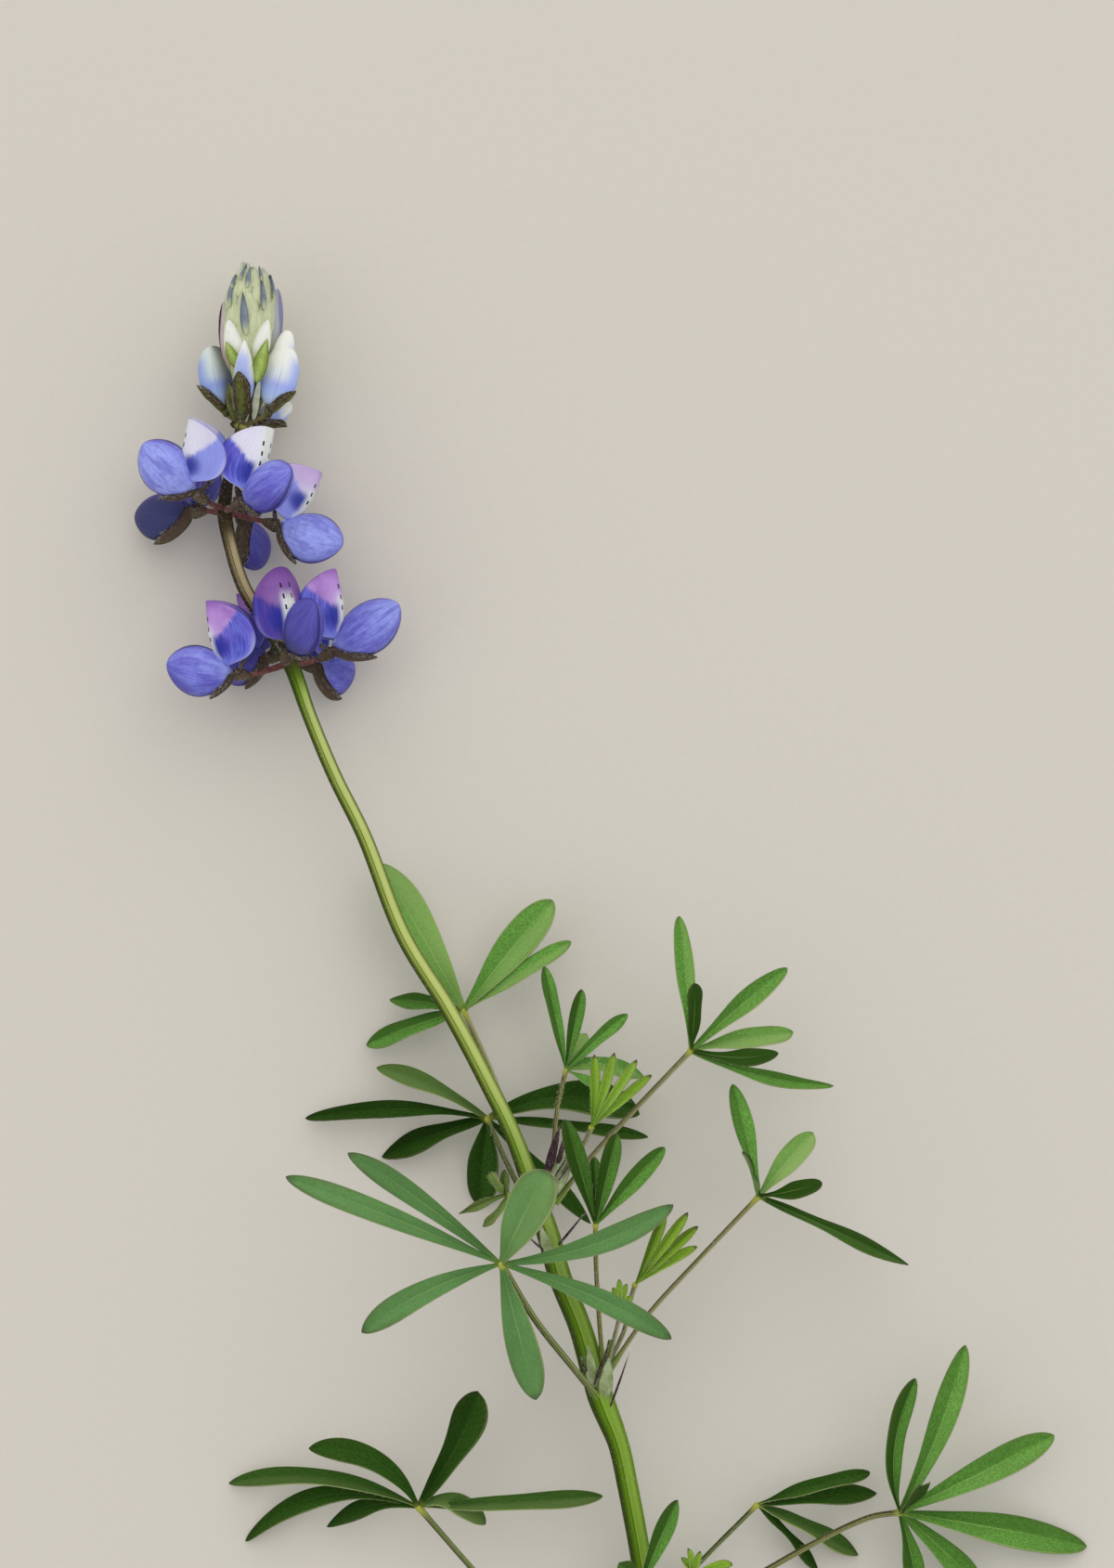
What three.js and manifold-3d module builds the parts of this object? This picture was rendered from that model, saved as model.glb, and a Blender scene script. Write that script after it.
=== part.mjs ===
// A cut sprig of lupin with its flower spike, lying on a table.
// Millimetres. +X is right and +Y is up on the drawing sheet, +Z is up from the table.
// Every piece is placed on a drawing of the sprig taken from straight above.
import * as THREE from 'three';
import { mergeVertices } from 'three/addons/utils/BufferGeometryUtils.js';
import Module from 'manifold-3d';

const wasm = await Module();
wasm.setup();

// The drawing sheet: a point is [steps right, steps down, millimetres above the table].
// The eye is above the sheet's middle, and a step has its full size at the stem's height.
const STEP = 0.14;
const SHEET_MIDDLE = [600, 844.5];
const EYE_HEIGHT = 605;
const TRUE_HEIGHT = 14;

// The middle of the sprig's box, from the sheet's middle
const BOX_MIDDLE = [8.4, -44.5];

// Thicknesses and the clear space between pieces that grow on each other
const BLADE = 0.65;
const PETAL = 0.65;
const GAP = 0.35;

// Leaflet outline: narrowest share of the width, place of the widest point, rounding of the tip
const LEAFLET_NECK = 0.14;
const LEAFLET_WIDEST = 0.68;
const LEAFLET_TIP = 0.985;
const LEAFLET_FOLD = THREE.MathUtils.degToRad(22);
const LEAFLET_ARCH = 0.6;
const LEAFLET_ROOT = 0.4;
const YOUNG_THICKNESS = 0.9;
// Leaflets longer than this have one more row of points along them
const LONG_LEAFLET = 22;
// The knuckle where the leaflets meet, as a share of the stalk's radius
const KNUCKLE = 1.7;

// Flower: the pair of wings, and the banner with the flat strip along its midline
const WING_HEIGHT = 7.4;
const WING_THICKNESS = 4.8;
const WING_LOWER_SHARE = 1.12;
const BANNER_HALF_WIDTH = 7.8;
const BANNER_STRIP = 0.7;
const BANNER_BULGE = 1.4;
const BANNER_FOOT = 0.6;

// Calyx: the cup behind the petals, its long lower lip and its short upper lip
const CUP_DEPTH = 2.6;
const CUP_RADIUS = 1.15;
const CUP_EDGE = 0.1;
const PEDICEL_RADIUS = 0.42;
const PEDICEL_BEND = 0.25;
const LOWER_LIP = 6.6;
const LOWER_LIP_WIDTH = 2.3;
const UPPER_LIP = 2.6;
const UPPER_LIP_WIDTH = 1.2;
const UPPER_LIP_LEAN = 0.9;
const LIP_ROOT = 0.9;
const LIP_FLARE = 1.6;
const LIP_HOLLOW = 0.3;
const LIP_CLEAR = PETAL / 2 + LIP_HOLLOW + GAP;

const COLOURS = {
  stem: { color: '#7f9a3c', roughness: 0.6 },
  leaf: { color: '#4c8a3f', roughness: 0.65 },
  youngLeaf: { color: '#7fae3c', roughness: 0.65 },
  wilted: { color: '#59693f', roughness: 0.8 },
  petals: { color: '#5f59c9', roughness: 0.7 },
  oldPetals: { color: '#8a62c4', roughness: 0.7 },
  calyx: { color: '#5a4a33', roughness: 0.85 },
  bud: { color: '#a9bde8', roughness: 0.7 },
  cone: { color: '#b9c98a', roughness: 0.85 },
};

// A point of the drawing sheet in space, as the eye above the sheet sees it
function spot([right, down, height]) {
  const nearness = (EYE_HEIGHT - height) / (EYE_HEIGHT - TRUE_HEIGHT);
  const x = (right - SHEET_MIDDLE[0]) * STEP * nearness - BOX_MIDDLE[0];
  const y = (SHEET_MIDDLE[1] - down) * STEP * nearness - BOX_MIDDLE[1];
  return new THREE.Vector3(x, y, height);
}

// A copy of a point after steps along some directions
function moved(point, ...shifts) {
  const result = point.clone();
  for (const [direction, amount] of shifts) {
    result.addScaledVector(direction, amount);
  }
  return result;
}

// A value read from a list of evenly spaced values, place 0 to 1
function mix(values, place) {
  const at = place * (values.length - 1);
  const low = Math.min(Math.floor(at), values.length - 2);
  return THREE.MathUtils.lerp(values[low], values[low + 1], at - low);
}

// A closed solid from its points and triangles, turned so that its faces point out
function solid(points, faces) {
  let volume = 0;
  for (let i = 0; i < faces.length; i += 3) {
    const [a, b, c] = [points[faces[i]], points[faces[i + 1]], points[faces[i + 2]]];
    volume += a.dot(new THREE.Vector3().crossVectors(b, c));
  }
  const geometry = new THREE.BufferGeometry();
  geometry.setAttribute('position', new THREE.Float32BufferAttribute(points.flatMap((p) => p.toArray()), 3));
  geometry.setIndex(volume < 0 ? faces.slice().reverse() : faces);
  return geometry;
}

// Rings of equal size joined in order and closed at both ends
function loft(rings, cap) {
  const count = rings[0].length;
  const faces = [];
  for (let i = 0; i < rings.length - 1; i += 1) {
    for (let j = 0; j < count; j += 1) {
      const a = i * count + j;
      const b = i * count + ((j + 1) % count);
      faces.push(a, b, b + count, a, b + count, a + count);
    }
  }
  const last = (rings.length - 1) * count;
  for (const [a, b, c] of cap) {
    faces.push(c, b, a, last + a, last + b, last + c);
  }
  return solid(rings.flat(), faces);
}

// Cap of a round ring
function fanCap(count) {
  return Array.from({ length: count - 2 }, (_, i) => [0, i + 1, i + 2]);
}

// Cap of a ring that runs along one side of a strip and back along the other
function stripCap(columns) {
  const cap = [];
  for (let j = 0; j < columns - 1; j += 1) {
    const far = 2 * columns - 1 - j;
    cap.push([j, j + 1, far - 1], [j, far - 1, far]);
  }
  return cap;
}

// A curved sheet of even thickness, from rows of points on its middle surface
function sheet(rows, thickness) {
  const columns = rows[0].length;
  const rings = rows.map((row, i) => {
    const before = rows[Math.max(i - 1, 0)];
    const after = rows[Math.min(i + 1, rows.length - 1)];
    const normals = row.map((point, j) => {
      const along = new THREE.Vector3().subVectors(after[j], before[j]);
      const across = new THREE.Vector3().subVectors(
        row[Math.min(j + 1, columns - 1)],
        row[Math.max(j - 1, 0)],
      );
      return along.cross(across).normalize();
    });
    const front = row.map((point, j) => moved(point, [normals[j], thickness / 2]));
    const back = row.map((point, j) => moved(point, [normals[j], -thickness / 2]));
    return front.concat(back.reverse());
  });
  return loft(rings, stripCap(columns));
}

// The level side direction and the upright direction of a section across a path
function sectionAxes(tangent) {
  const side = new THREE.Vector3().crossVectors(tangent, new THREE.Vector3(0, 0, 1)).normalize();
  const upright = new THREE.Vector3().crossVectors(side, tangent).normalize();
  return { side, upright };
}

// A flat-sided bar along a curve, its radius read from a list along the way. Its first end
// can be cut on a slant, and to says how far along the curve it reaches.
function bar(curve, radii, { sides = 6, spans = 6, to = 1, slant = 0 } = {}) {
  const rings = [];
  for (let i = 0; i <= spans; i += 1) {
    const t = (to * i) / spans;
    const tangent = curve.getTangent(t);
    const { side, upright } = sectionAxes(tangent);
    const radius = mix(radii, t) / Math.cos(Math.PI / sides);
    const ring = [];
    for (let j = 0; j < sides; j += 1) {
      const angle = ((j + 0.5) / sides) * 2 * Math.PI;
      const rise = radius * Math.cos(angle);
      const lean = i === 0 ? slant * rise : 0;
      ring.push(moved(curve.getPoint(t), [side, radius * Math.sin(angle)], [upright, rise], [tangent, lean]));
    }
    rings.push(ring);
  }
  return loft(rings, fanCap(sides));
}

// A pouch along a line: its height and thickness swell and shrink along the way
function pouch({ start, along, up, sideways, length, height, thickness, lower = 1, heights, widths, sides = 8 }) {
  const spans = heights.length - 1;
  const rings = heights.map((share, i) => {
    const centre = moved(start, [along, (length * i) / spans]);
    return Array.from({ length: sides }, (_, j) => {
      const angle = (j / sides) * 2 * Math.PI;
      const rise = Math.cos(angle) * (height / 2) * share * (Math.cos(angle) < 0 ? lower : 1);
      return moved(centre, [up, rise], [sideways, Math.sin(angle) * (thickness / 2) * widths[i]]);
    });
  });
  return loft(rings, fanCap(sides));
}

// A smooth curve through some points, without loops or bulges
function curveThrough(points) {
  return new THREE.CatmullRomCurve3(points, false, 'centripetal');
}

function toManifold(geometry) {
  const bare = geometry.clone();
  bare.deleteAttribute('normal');
  bare.deleteAttribute('uv');
  const merged = mergeVertices(bare, 1e-4);
  const vertProperties = Float32Array.from(merged.attributes.position.array);
  const triVerts = Uint32Array.from(merged.index.array);
  return new wasm.Manifold(new wasm.Mesh({ numProp: 3, vertProperties, triVerts }));
}

// The triangles of a mesh gathered into its separate shells
function shellsOf(triangles, pointCount) {
  const leader = Array.from({ length: pointCount }, (_, i) => i);
  const find = (i) => {
    let top = i;
    while (leader[top] !== top) {
      leader[top] = leader[leader[top]];
      top = leader[top];
    }
    return top;
  };
  for (const [a, b, c] of triangles) {
    leader[find(b)] = find(a);
    leader[find(c)] = find(a);
  }
  const shells = new Map();
  for (const triangle of triangles) {
    const key = find(triangle[0]);
    shells.set(key, [...(shells.get(key) ?? []), triangle]);
  }
  return [...shells.values()];
}

// Several closed solids grown into one. A hollow sealed between them is filled, because
// only the outer shell is kept.
function fuse(geometries) {
  const joined = geometries.map(toManifold).reduce((all, next) => all.add(next));
  const { vertProperties, triVerts } = joined.getMesh();
  const triangles = Array.from({ length: triVerts.length / 3 }, (_, i) => triVerts.slice(3 * i, 3 * i + 3));
  const shells = shellsOf(triangles, vertProperties.length / 3);
  const outer = shells.reduce((best, shell) => (shell.length > best.length ? shell : best));
  const geometry = new THREE.BufferGeometry();
  geometry.setAttribute('position', new THREE.Float32BufferAttribute(vertProperties, 3));
  geometry.setIndex(outer.flatMap((triangle) => Array.from(triangle)));
  return geometry;
}

// The stem from its cut foot to the tip of the spike: point and radius
const STEM_WAY = [
  [[768, 2010, 1.6], 1.6],
  [[742, 1940, 1.6], 1.6],
  [[722, 1870, 1.6], 1.6],
  [[709, 1815, 2.2], 1.62],
  [[700, 1760, 3.8], 1.65],
  [[692, 1689, 6.6], 1.6],
  [[676, 1600, 10], 1.6],
  [[666, 1555, 11.6], 1.6],
  [[647, 1505, 13], 2.0],
  [[625, 1430, 14.4], 1.75],
  [[603, 1375, 15], 1.75],
  [[592, 1335, 15], 1.75],
  [[577, 1290, 15], 1.55],
  [[552, 1221, 15], 1.3],
  [[526, 1168, 14.6], 1.28],
  [[484, 1089, 14], 1.25],
  [[434, 1007, 13], 1.2],
  [[392, 900, 12.2], 1.15],
  [[360, 835, 11.8], 1.12],
  [[333, 770, 11.4], 1.1],
  [[313, 715, 11], 1.25],
  [[290, 676, 11], 1.1],
  [[263, 633, 11], 1.08],
  [[249, 590, 11], 1.05],
  [[242, 550, 11], 1.15],
  [[247, 510, 10.8], 0.75],
  [[256, 470, 10.5], 0.6],
  [[261, 455, 10.5], 0.9],
];
const STEM_SLANT = 0.8;
const STEM_SIDES = 8;
const STEM_SPANS = 42;

// Short growths that are one with the stem: point and radius
const SIDE_SHOOT = [
  [[648, 1500, 13.2], 1.0],
  [[654, 1470, 14.2], 0.8],
  [[658, 1444, 14.8], 0.55],
];
const YOUNG_SHEATH = [
  [[588, 1296, 15], 0.9],
  [[598, 1268, 15.6], 0.95],
  [[608, 1236, 15.8], 0.4],
];
// Thread-like stipules: root in the stem, then tip
const STIPULES = [
  [[590, 1350, 15.5], [568, 1331, 17.5]],
  [[596, 1345, 15.5], [631, 1305, 17]],
  [[650, 1525, 13], [678, 1457, 17]],
  [[648, 1515, 14], [664, 1466, 18]],
  [[640, 1500, 13.5], [622, 1462, 17.5]],
];
const STIPULE_RADII = [0.5, 0.45, 0.32];
const STIPULE_ARCH = 0.6;

const stemCurve = curveThrough(STEM_WAY.map(([point]) => spot(point)));
const stemRadii = STEM_WAY.map(([, radius]) => radius);

// Points inside the stem and its growths with the room that each takes up
const stemRoom = [[STEM_WAY, 500], [SIDE_SHOOT, 40], [YOUNG_SHEATH, 40]].flatMap(([way, count]) => {
  const curve = curveThrough(way.map(([point]) => spot(point)));
  const radii = way.map(([, radius]) => radius);
  return Array.from({ length: count + 1 }, (_, i) => ({
    point: curve.getPoint(i / count),
    radius: mix(radii, i / count) / Math.cos(Math.PI / STEM_SIDES),
  }));
});

function stemClearance(point) {
  return Math.min(...stemRoom.map((room) => room.point.distanceTo(point) - room.radius));
}

// How far along a stalk's curve its side comes within the gap of the stem
function stalkEnd(curve, radius) {
  const steps = 160;
  for (let i = 1; i <= steps; i += 1) {
    if (stemClearance(curve.getPoint(i / steps)) < radius + GAP) {
      return (i - 1) / steps;
    }
  }
  return 1;
}

function makeStem() {
  const parts = [bar(stemCurve, stemRadii, {
    sides: STEM_SIDES,
    spans: STEM_SPANS,
    slant: STEM_SLANT,
  })];
  for (const way of [SIDE_SHOOT, YOUNG_SHEATH]) {
    const curve = curveThrough(way.map(([point]) => spot(point)));
    parts.push(bar(curve, way.map(([, radius]) => radius), { spans: 4 }));
  }
  for (const ends of STIPULES) {
    const [root, tip] = ends.map(spot);
    const middle = moved(root.clone().lerp(tip, 0.5), [new THREE.Vector3(0, 0, 1), STIPULE_ARCH]);
    parts.push(bar(curveThrough([root, middle, tip]), STIPULE_RADII, { sides: 4, spans: 3 }));
  }
  return fuse(parts);
}

// Leaves. face: the way the upper side looks. stalk: from the hub to inside the stem.
// A leaflet is [tip, width, place that it arches through at mid length].
const LEAVES = [
  {
    name: 'leaf_low_left',
    face: [-0.35, 0.6, 0.72],
    stalkRadius: 0.5,
    stalk: [[451, 1623.5, 12], [508, 1689, 9.5], [600, 1790, 5.5], [735, 1905, 1.8]],
    leaflets: [
      [[515, 1499, 16], 6.2, [495, 1554, 14.5]],
      [[333, 1560, 13], 3.4, [404, 1574, 15.5]],
      [[247, 1598, 0.6], 3.2, [350, 1592, 9]],
      [[265, 1660, 0.6], 3.6, [349, 1612, 7]],
      [[353, 1644, 4], 3.0, [403, 1622, 9.5]],
      [[649, 1612, 9], 3.1, [552, 1619, 12.5]],
      [[523, 1641, 9], 3.4, [486, 1618, 12]],
    ],
  },
  {
    name: 'leaf_low_right',
    face: [0.35, 0.35, 0.87],
    stalkRadius: 0.52,
    stalk: [[969, 1629, 9.5], [935, 1635, 9.6], [835, 1685.5, 8.4], [760, 1735, 6.4], [704, 1790, 3]],
    leaflets: [
      [[986, 1485, 14], 3.6, [963, 1560, 13]],
      [[1040, 1449, 12], 4.2, [1009, 1546, 12.5]],
      [[1135, 1546, 7], 4.8, [1058, 1586, 10]],
      [[1170, 1666, 0.6], 5.4],
      [[1060, 1715, 3], 4.2],
      [[990, 1725, 6], 3.6],
      [[991, 1598, 19], 3.4],
    ],
  },
  {
    name: 'leaf_low_middle',
    face: [0.2, 0.7, 0.68],
    stalkRadius: 0.42,
    stalk: [[815.5, 1621, 7], [754, 1683, 3.6], [696, 1748, 4]],
    leaflets: [
      [[937, 1587, 7], 2.8, [876, 1601, 8.6]],
      [[944, 1608.5, 4], 3.4],
      [[924, 1675, 1.2], 3.4],
      [[882, 1694, 1.2], 2.4],
    ],
  },
  {
    name: 'leaf_foot_front',
    face: [0, 0.35, 0.93],
    stalkRadius: 0.45,
    stalk: [[690, 1708, 11.5], [694, 1740, 9.5], [700, 1775, 5]],
    leaflets: [
      [[730, 1616, 17], 3.0],
      [[668, 1683, 17], 2.8],
      [[628, 1716, 12], 3.0],
      [[655, 1782, 9], 3.0],
      [[738, 1768, 13], 3.0],
    ],
  },
  {
    name: 'tuft_foot',
    young: true,
    face: [0.1, 0.6, 0.8],
    stalkRadius: 0.4,
    stalk: [[745, 1700, 8.5], [728, 1735, 7], [705, 1770, 4]],
    leaflets: [
      [[734, 1678, 11], 1.4],
      [[741, 1668, 12], 1.4],
      [[754, 1671, 11.5], 1.4],
      [[789, 1685, 10], 2.2],
    ],
  },
  {
    name: 'leaf_front',
    face: [-0.15, 0.3, 0.94],
    stalkRadius: 0.58,
    stalk: [[540, 1361.5, 38], [574, 1418, 32.5], [618, 1474, 22], [646, 1508, 13.5]],
    leaflets: [
      [[308, 1268, 40], 3.5, [420, 1311, 41.5]],
      [[375, 1242, 40], 3.3, [452, 1293, 41.5]],
      [[590, 1261, 45], 7.0],
      [[725, 1298, 40], 3.6, [640, 1341, 41.5]],
      [[723, 1442, 37], 3.4, [640, 1397, 40]],
      [[578, 1507, 33], 5.0],
      [[390, 1435, 36], 4.0, [458, 1392, 39]],
    ],
  },
  {
    name: 'leaf_right',
    face: [0.25, 0.7, 0.66],
    stalkRadius: 0.42,
    stalk: [[817, 1289, 22], [756, 1353, 19], [697.5, 1417, 16.5], [656, 1476, 14.2]],
    leaflets: [
      [[789, 1168, 20], 2.7],
      [[799, 1253, 28], 2.5],
      [[876, 1221, 18], 4.0],
      [[885.5, 1274, 26], 2.7],
      [[978, 1362.6, 10], 3.1, [893, 1324, 17]],
    ],
  },
  {
    name: 'leaf_upper_right',
    face: [0.25, 0.65, 0.7],
    stalkRadius: 0.45,
    stalk: [[744, 1132, 20], [720, 1157, 19], [666, 1214, 16.8], [632, 1252, 15.8], [598, 1296, 15]],
    leaflets: [
      [[731, 987, 17], 3.1],
      [[748, 1059, 26], 3.0],
      [[848, 1043, 18], 3.6],
      [[854, 1113, 13], 3.6],
      [[838.5, 1134.5, 24], 2.9],
      [[897.5, 1170, 10], 2.8, [816, 1159, 16]],
    ],
  },
  {
    name: 'leaf_behind',
    face: [0, 0.6, 0.8],
    stalkRadius: 0.45,
    stalk: [[525, 1205, 8], [540, 1240, 9.3], [556.5, 1274, 11.2], [580, 1312, 14.5]],
    leaflets: [
      [[406, 1150, 6], 3.1, [463, 1169, 8]],
      [[329.5, 1205, 2], 3.0, [430, 1195, 6.2]],
      [[412, 1246, 1.6], 4.4],
      [[518, 1298, 1], 5.4],
      [[636, 1318, 4], 2.9],
      [[698, 1225, 6], 2.4],
      [[688.5, 1200, 5], 5.8, [612, 1182, 7.6]],
    ],
  },
  {
    name: 'leaf_top',
    face: [0.05, 0.55, 0.83],
    stalkRadius: 0.45,
    stalk: [[499.6, 1089, 9], [528, 1152, 9.8], [548, 1205, 10.4], [562, 1245, 11.2], [580, 1290, 14]],
    leaflets: [
      [[408, 930, 6], 6.4],
      [[595.5, 970, 10], 5.8],
      [[615, 1014.6, 11], 3.0],
      [[420.5, 1077, 4], 3.2],
      [[395, 1126, 2.5], 3.9],
    ],
  },
  {
    name: 'leaf_axil_upper',
    face: [0.1, 0.6, 0.78],
    stalkRadius: 0.4,
    stalk: [[609.5, 1153, 14], [601, 1190, 13.8], [597, 1226, 13.8], [590, 1280, 15]],
    leaflets: [
      [[586, 1041, 13], 2.3],
      [[627, 1066, 12], 2.3],
      [[676, 1092.5, 12], 2.3],
      [[630, 1114, 8], 2.8],
      [[693, 1160, 9], 3.4, [644, 1147, 12]],
      [[655, 1180, 16], 1.6],
    ],
  },
  {
    name: 'young_fan_upper',
    young: true,
    face: [0.2, 0.35, 0.92],
    stalkRadius: 0.42,
    stalk: [[637, 1214.5, 19.5], [629, 1232, 18.6], [612, 1256, 17.4], [592, 1290, 15.4]],
    leaflets: [
      [[640, 1136, 24], 2.0],
      [[662, 1134, 24.5], 2.0],
      [[686, 1141.5, 24], 2.0],
      [[702, 1158, 23], 2.0],
    ],
  },
  {
    name: 'leaf_axil_lower',
    face: [0.1, 0.45, 0.88],
    stalkRadius: 0.4,
    stalk: [[641.5, 1319.6, 24], [642, 1360, 20.5], [644, 1400, 18], [650, 1480, 14.4]],
    leaflets: [
      [[608, 1206, 29], 3.2],
      [[640, 1246, 25], 2.2],
      [[664, 1221, 28], 3.0],
      [[716, 1236, 27], 3.0],
    ],
  },
  {
    name: 'young_fan_lower',
    young: true,
    face: [0.3, 0.5, 0.8],
    stalkRadius: 0.4,
    stalk: [[684, 1384, 18], [678, 1404, 16.8], [672, 1434, 15.2], [652, 1474, 14]],
    leaflets: [
      [[717, 1306, 20], 2.1],
      [[741, 1306, 20.5], 2.1],
      [[752, 1321, 20.5], 2.1],
      [[751, 1343, 20], 2.0],
    ],
  },
  {
    name: 'tuft_axil',
    young: true,
    face: [0, 0.5, 0.86],
    stalkRadius: 0.36,
    stalk: [[668, 1416, 20], [662, 1440, 18], [652, 1480, 14.2]],
    leaflets: [
      [[660, 1387, 21.5], 1.3],
      [[667, 1378, 22], 1.3],
      [[675, 1383, 21.8], 1.3],
      [[681, 1396, 21.5], 1.3],
    ],
  },
  {
    name: 'curled_leaf',
    wilted: true,
    face: [-0.3, -0.2, 0.93],
    stalkRadius: 0.4,
    stalk: [[547, 1286, 15.8], [560, 1288, 15.8], [578, 1294, 15]],
    leaflets: [
      [[529, 1262, 17.5], 2.0],
      [[544, 1260, 18], 1.7],
      [[494.5, 1307, 13], 1.6, [524, 1294, 15.8]],
      [[520.6, 1321, 13], 1.6, [537, 1306, 15.4]],
    ],
  },
];

// Half width of a leaflet as a share of its greatest: a slow swelling to the widest
// point, then a quarter of an ellipse to the blunt tip
function leafletOutline(t) {
  if (t < LEAFLET_WIDEST) {
    const swelling = Math.sin(((t / LEAFLET_WIDEST) * Math.PI) / 2) ** 1.2;
    return LEAFLET_NECK + (1 - LEAFLET_NECK) * swelling;
  }
  const towardsTip = (t - LEAFLET_WIDEST) / (1 - LEAFLET_WIDEST);
  return Math.sqrt(1 - LEAFLET_TIP * towardsTip ** 2);
}

function makeLeaflet(hub, face, [tipPlace, width, archPlace]) {
  const tip = spot(tipPlace);
  const middle = archPlace ? spot(archPlace) : moved(hub.clone().lerp(tip, 0.5), [face, LEAFLET_ARCH]);
  const control = moved(middle.clone().multiplyScalar(2), [hub, -0.5], [tip, -0.5]);
  const rib = new THREE.QuadraticBezierCurve3(hub, control, tip);
  const root = LEAFLET_ROOT / rib.getLength();
  const inner = rib.getLength() > LONG_LEAFLET ? [0.26, 0.5, 0.71, 0.89, 1] : [0.36, 0.68, 0.9, 1];
  const rows = [root, ...inner].map((t) => {
    const across = new THREE.Vector3().crossVectors(rib.getTangent(t), face).normalize();
    const raised = new THREE.Vector3().crossVectors(across, rib.getTangent(t)).normalize();
    const half = (width / 2) * leafletOutline(t);
    return [-1, 0, 1].map((edge) => moved(
      rib.getPoint(t),
      [across, edge * half * Math.cos(LEAFLET_FOLD)],
      [raised, Math.abs(edge) * half * Math.sin(LEAFLET_FOLD)],
    ));
  });
  return sheet(rows, BLADE);
}

const YOUNG_OUTLINE = [0.3, 0.7, 1, 0.2];

// A leaflet that is still folded along its rib: a slim spindle
function makeYoungLeaflet(hub, face, [tipPlace, width]) {
  const along = spot(tipPlace).sub(hub);
  const length = along.length();
  along.normalize();
  const across = new THREE.Vector3().crossVectors(along, face).normalize();
  return pouch({
    start: moved(hub, [along, LEAFLET_ROOT]),
    along,
    up: across,
    sideways: new THREE.Vector3().crossVectors(along, across),
    length: length - LEAFLET_ROOT,
    height: width,
    thickness: YOUNG_THICKNESS,
    heights: YOUNG_OUTLINE,
    widths: [0.6, 1, 1, 0.4],
    sides: 6,
  });
}

function makeLeaf(leaf) {
  const hub = spot(leaf.stalk[0]);
  const face = new THREE.Vector3(...leaf.face).normalize();
  const stalkCurve = curveThrough(leaf.stalk.map(spot));
  const stalkRadii = [leaf.stalkRadius, leaf.stalkRadius];
  const knuckle = new THREE.IcosahedronGeometry(leaf.stalkRadius * KNUCKLE, 0);
  knuckle.translate(hub.x, hub.y, hub.z);
  return fuse([
    knuckle,
    bar(stalkCurve, stalkRadii, {
      sides: 5,
      spans: leaf.stalk.length + 1,
      to: stalkEnd(stalkCurve, leaf.stalkRadius),
    }),
    ...leaf.leaflets.map((leaflet) => (leaf.young ? makeYoungLeaflet : makeLeaflet)(hub, face, leaflet)),
  ]);
}

// Open flowers: mouth of the calyx, tip of the wings, top of the banner, place on the stem,
// and the angle of each half of the banner to the plane between the wings
const FLOWERS = [
  {
    name: 'upper_1',
    mouth: [210, 530, 15.6],
    wings: [152, 482, 17.6],
    banner: [207, 449, 18],
    stem: [242, 548, 11],
    spread: 26,
    narrow: 0.94,
  },
  {
    name: 'upper_2',
    mouth: [262, 540, 17.5],
    wings: [314, 510, 23.5],
    banner: [288, 459, 18],
    stem: [243, 549, 11],
    spread: 40,
    narrow: 0.82,
  },
  {
    name: 'upper_3',
    mouth: [300, 567, 11.5],
    wings: [367, 590, 13.5],
    banner: [342, 503, 11],
    stem: [243, 552, 11],
    spread: 30,
  },
  {
    name: 'upper_4',
    mouth: [207, 552, 7.6],
    wings: [146, 560, 3.8],
    banner: [214, 484, 3.6],
    stem: [242, 554, 11],
    spread: 18,
    narrow: 0.68,
  },
  {
    name: 'upper_5',
    mouth: [262, 562, 7.6],
    wings: [281, 611, 2.9],
    banner: [284, 528, 1.3],
    stem: [244, 556, 11],
    spread: 25,
    narrow: 0.55,
  },
  {
    name: 'lower_1',
    mouth: [252, 726, 13.2],
    wings: [180, 719, 14.2],
    banner: [226, 648, 15],
    stem: [312, 714, 11],
    spread: 30,
  },
  {
    name: 'lower_2',
    mouth: [312, 702, 18],
    wings: [341, 653, 25],
    banner: [300, 613, 18],
    stem: [312, 712, 11],
    spread: 55,
    narrow: 0.68,
  },
  {
    name: 'lower_3',
    mouth: [358, 701, 11.8],
    wings: [431, 655, 12.4],
    banner: [358, 615, 10.6],
    stem: [315, 716, 11],
    spread: 20,
    narrow: 0.86,
  },
  {
    name: 'lower_4',
    mouth: [338, 718, 6.6],
    wings: [381, 727, 3],
    banner: [350, 652, 3],
    stem: [315, 718, 11],
    spread: 20,
    narrow: 0.64,
  },
  {
    name: 'lower_5',
    mouth: [289, 708, 6.6],
    wings: [232, 714, 3],
    banner: [260, 640, 3.4],
    stem: [314, 717, 11],
    spread: 18,
    narrow: 0.64,
  },
];

// Directions of a flower: forward along the wings, up across them, sideways, and the
// banner's midline with the way its halves lie back
function flowerAxes(flower) {
  const mouth = spot(flower.mouth);
  const wingTip = spot(flower.wings);
  const bannerTop = spot(flower.banner);
  const forward = new THREE.Vector3().subVectors(wingTip, mouth);
  const midline = new THREE.Vector3().subVectors(bannerTop, mouth);
  const wingLength = forward.length();
  const bannerLength = midline.length();
  forward.normalize();
  midline.normalize();
  const sideways = new THREE.Vector3().crossVectors(forward, midline).normalize();
  const up = new THREE.Vector3().crossVectors(sideways, forward).normalize();
  const backward = new THREE.Vector3().crossVectors(sideways, midline).normalize();
  return { mouth, forward, midline, sideways, up, backward, wingLength, bannerLength };
}

// Height of the wings as a share of their greatest, from claw to tip
const WING_HEIGHTS = [0.26, 0.72, 0.97, 1, 0.8, 0.24];

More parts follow.
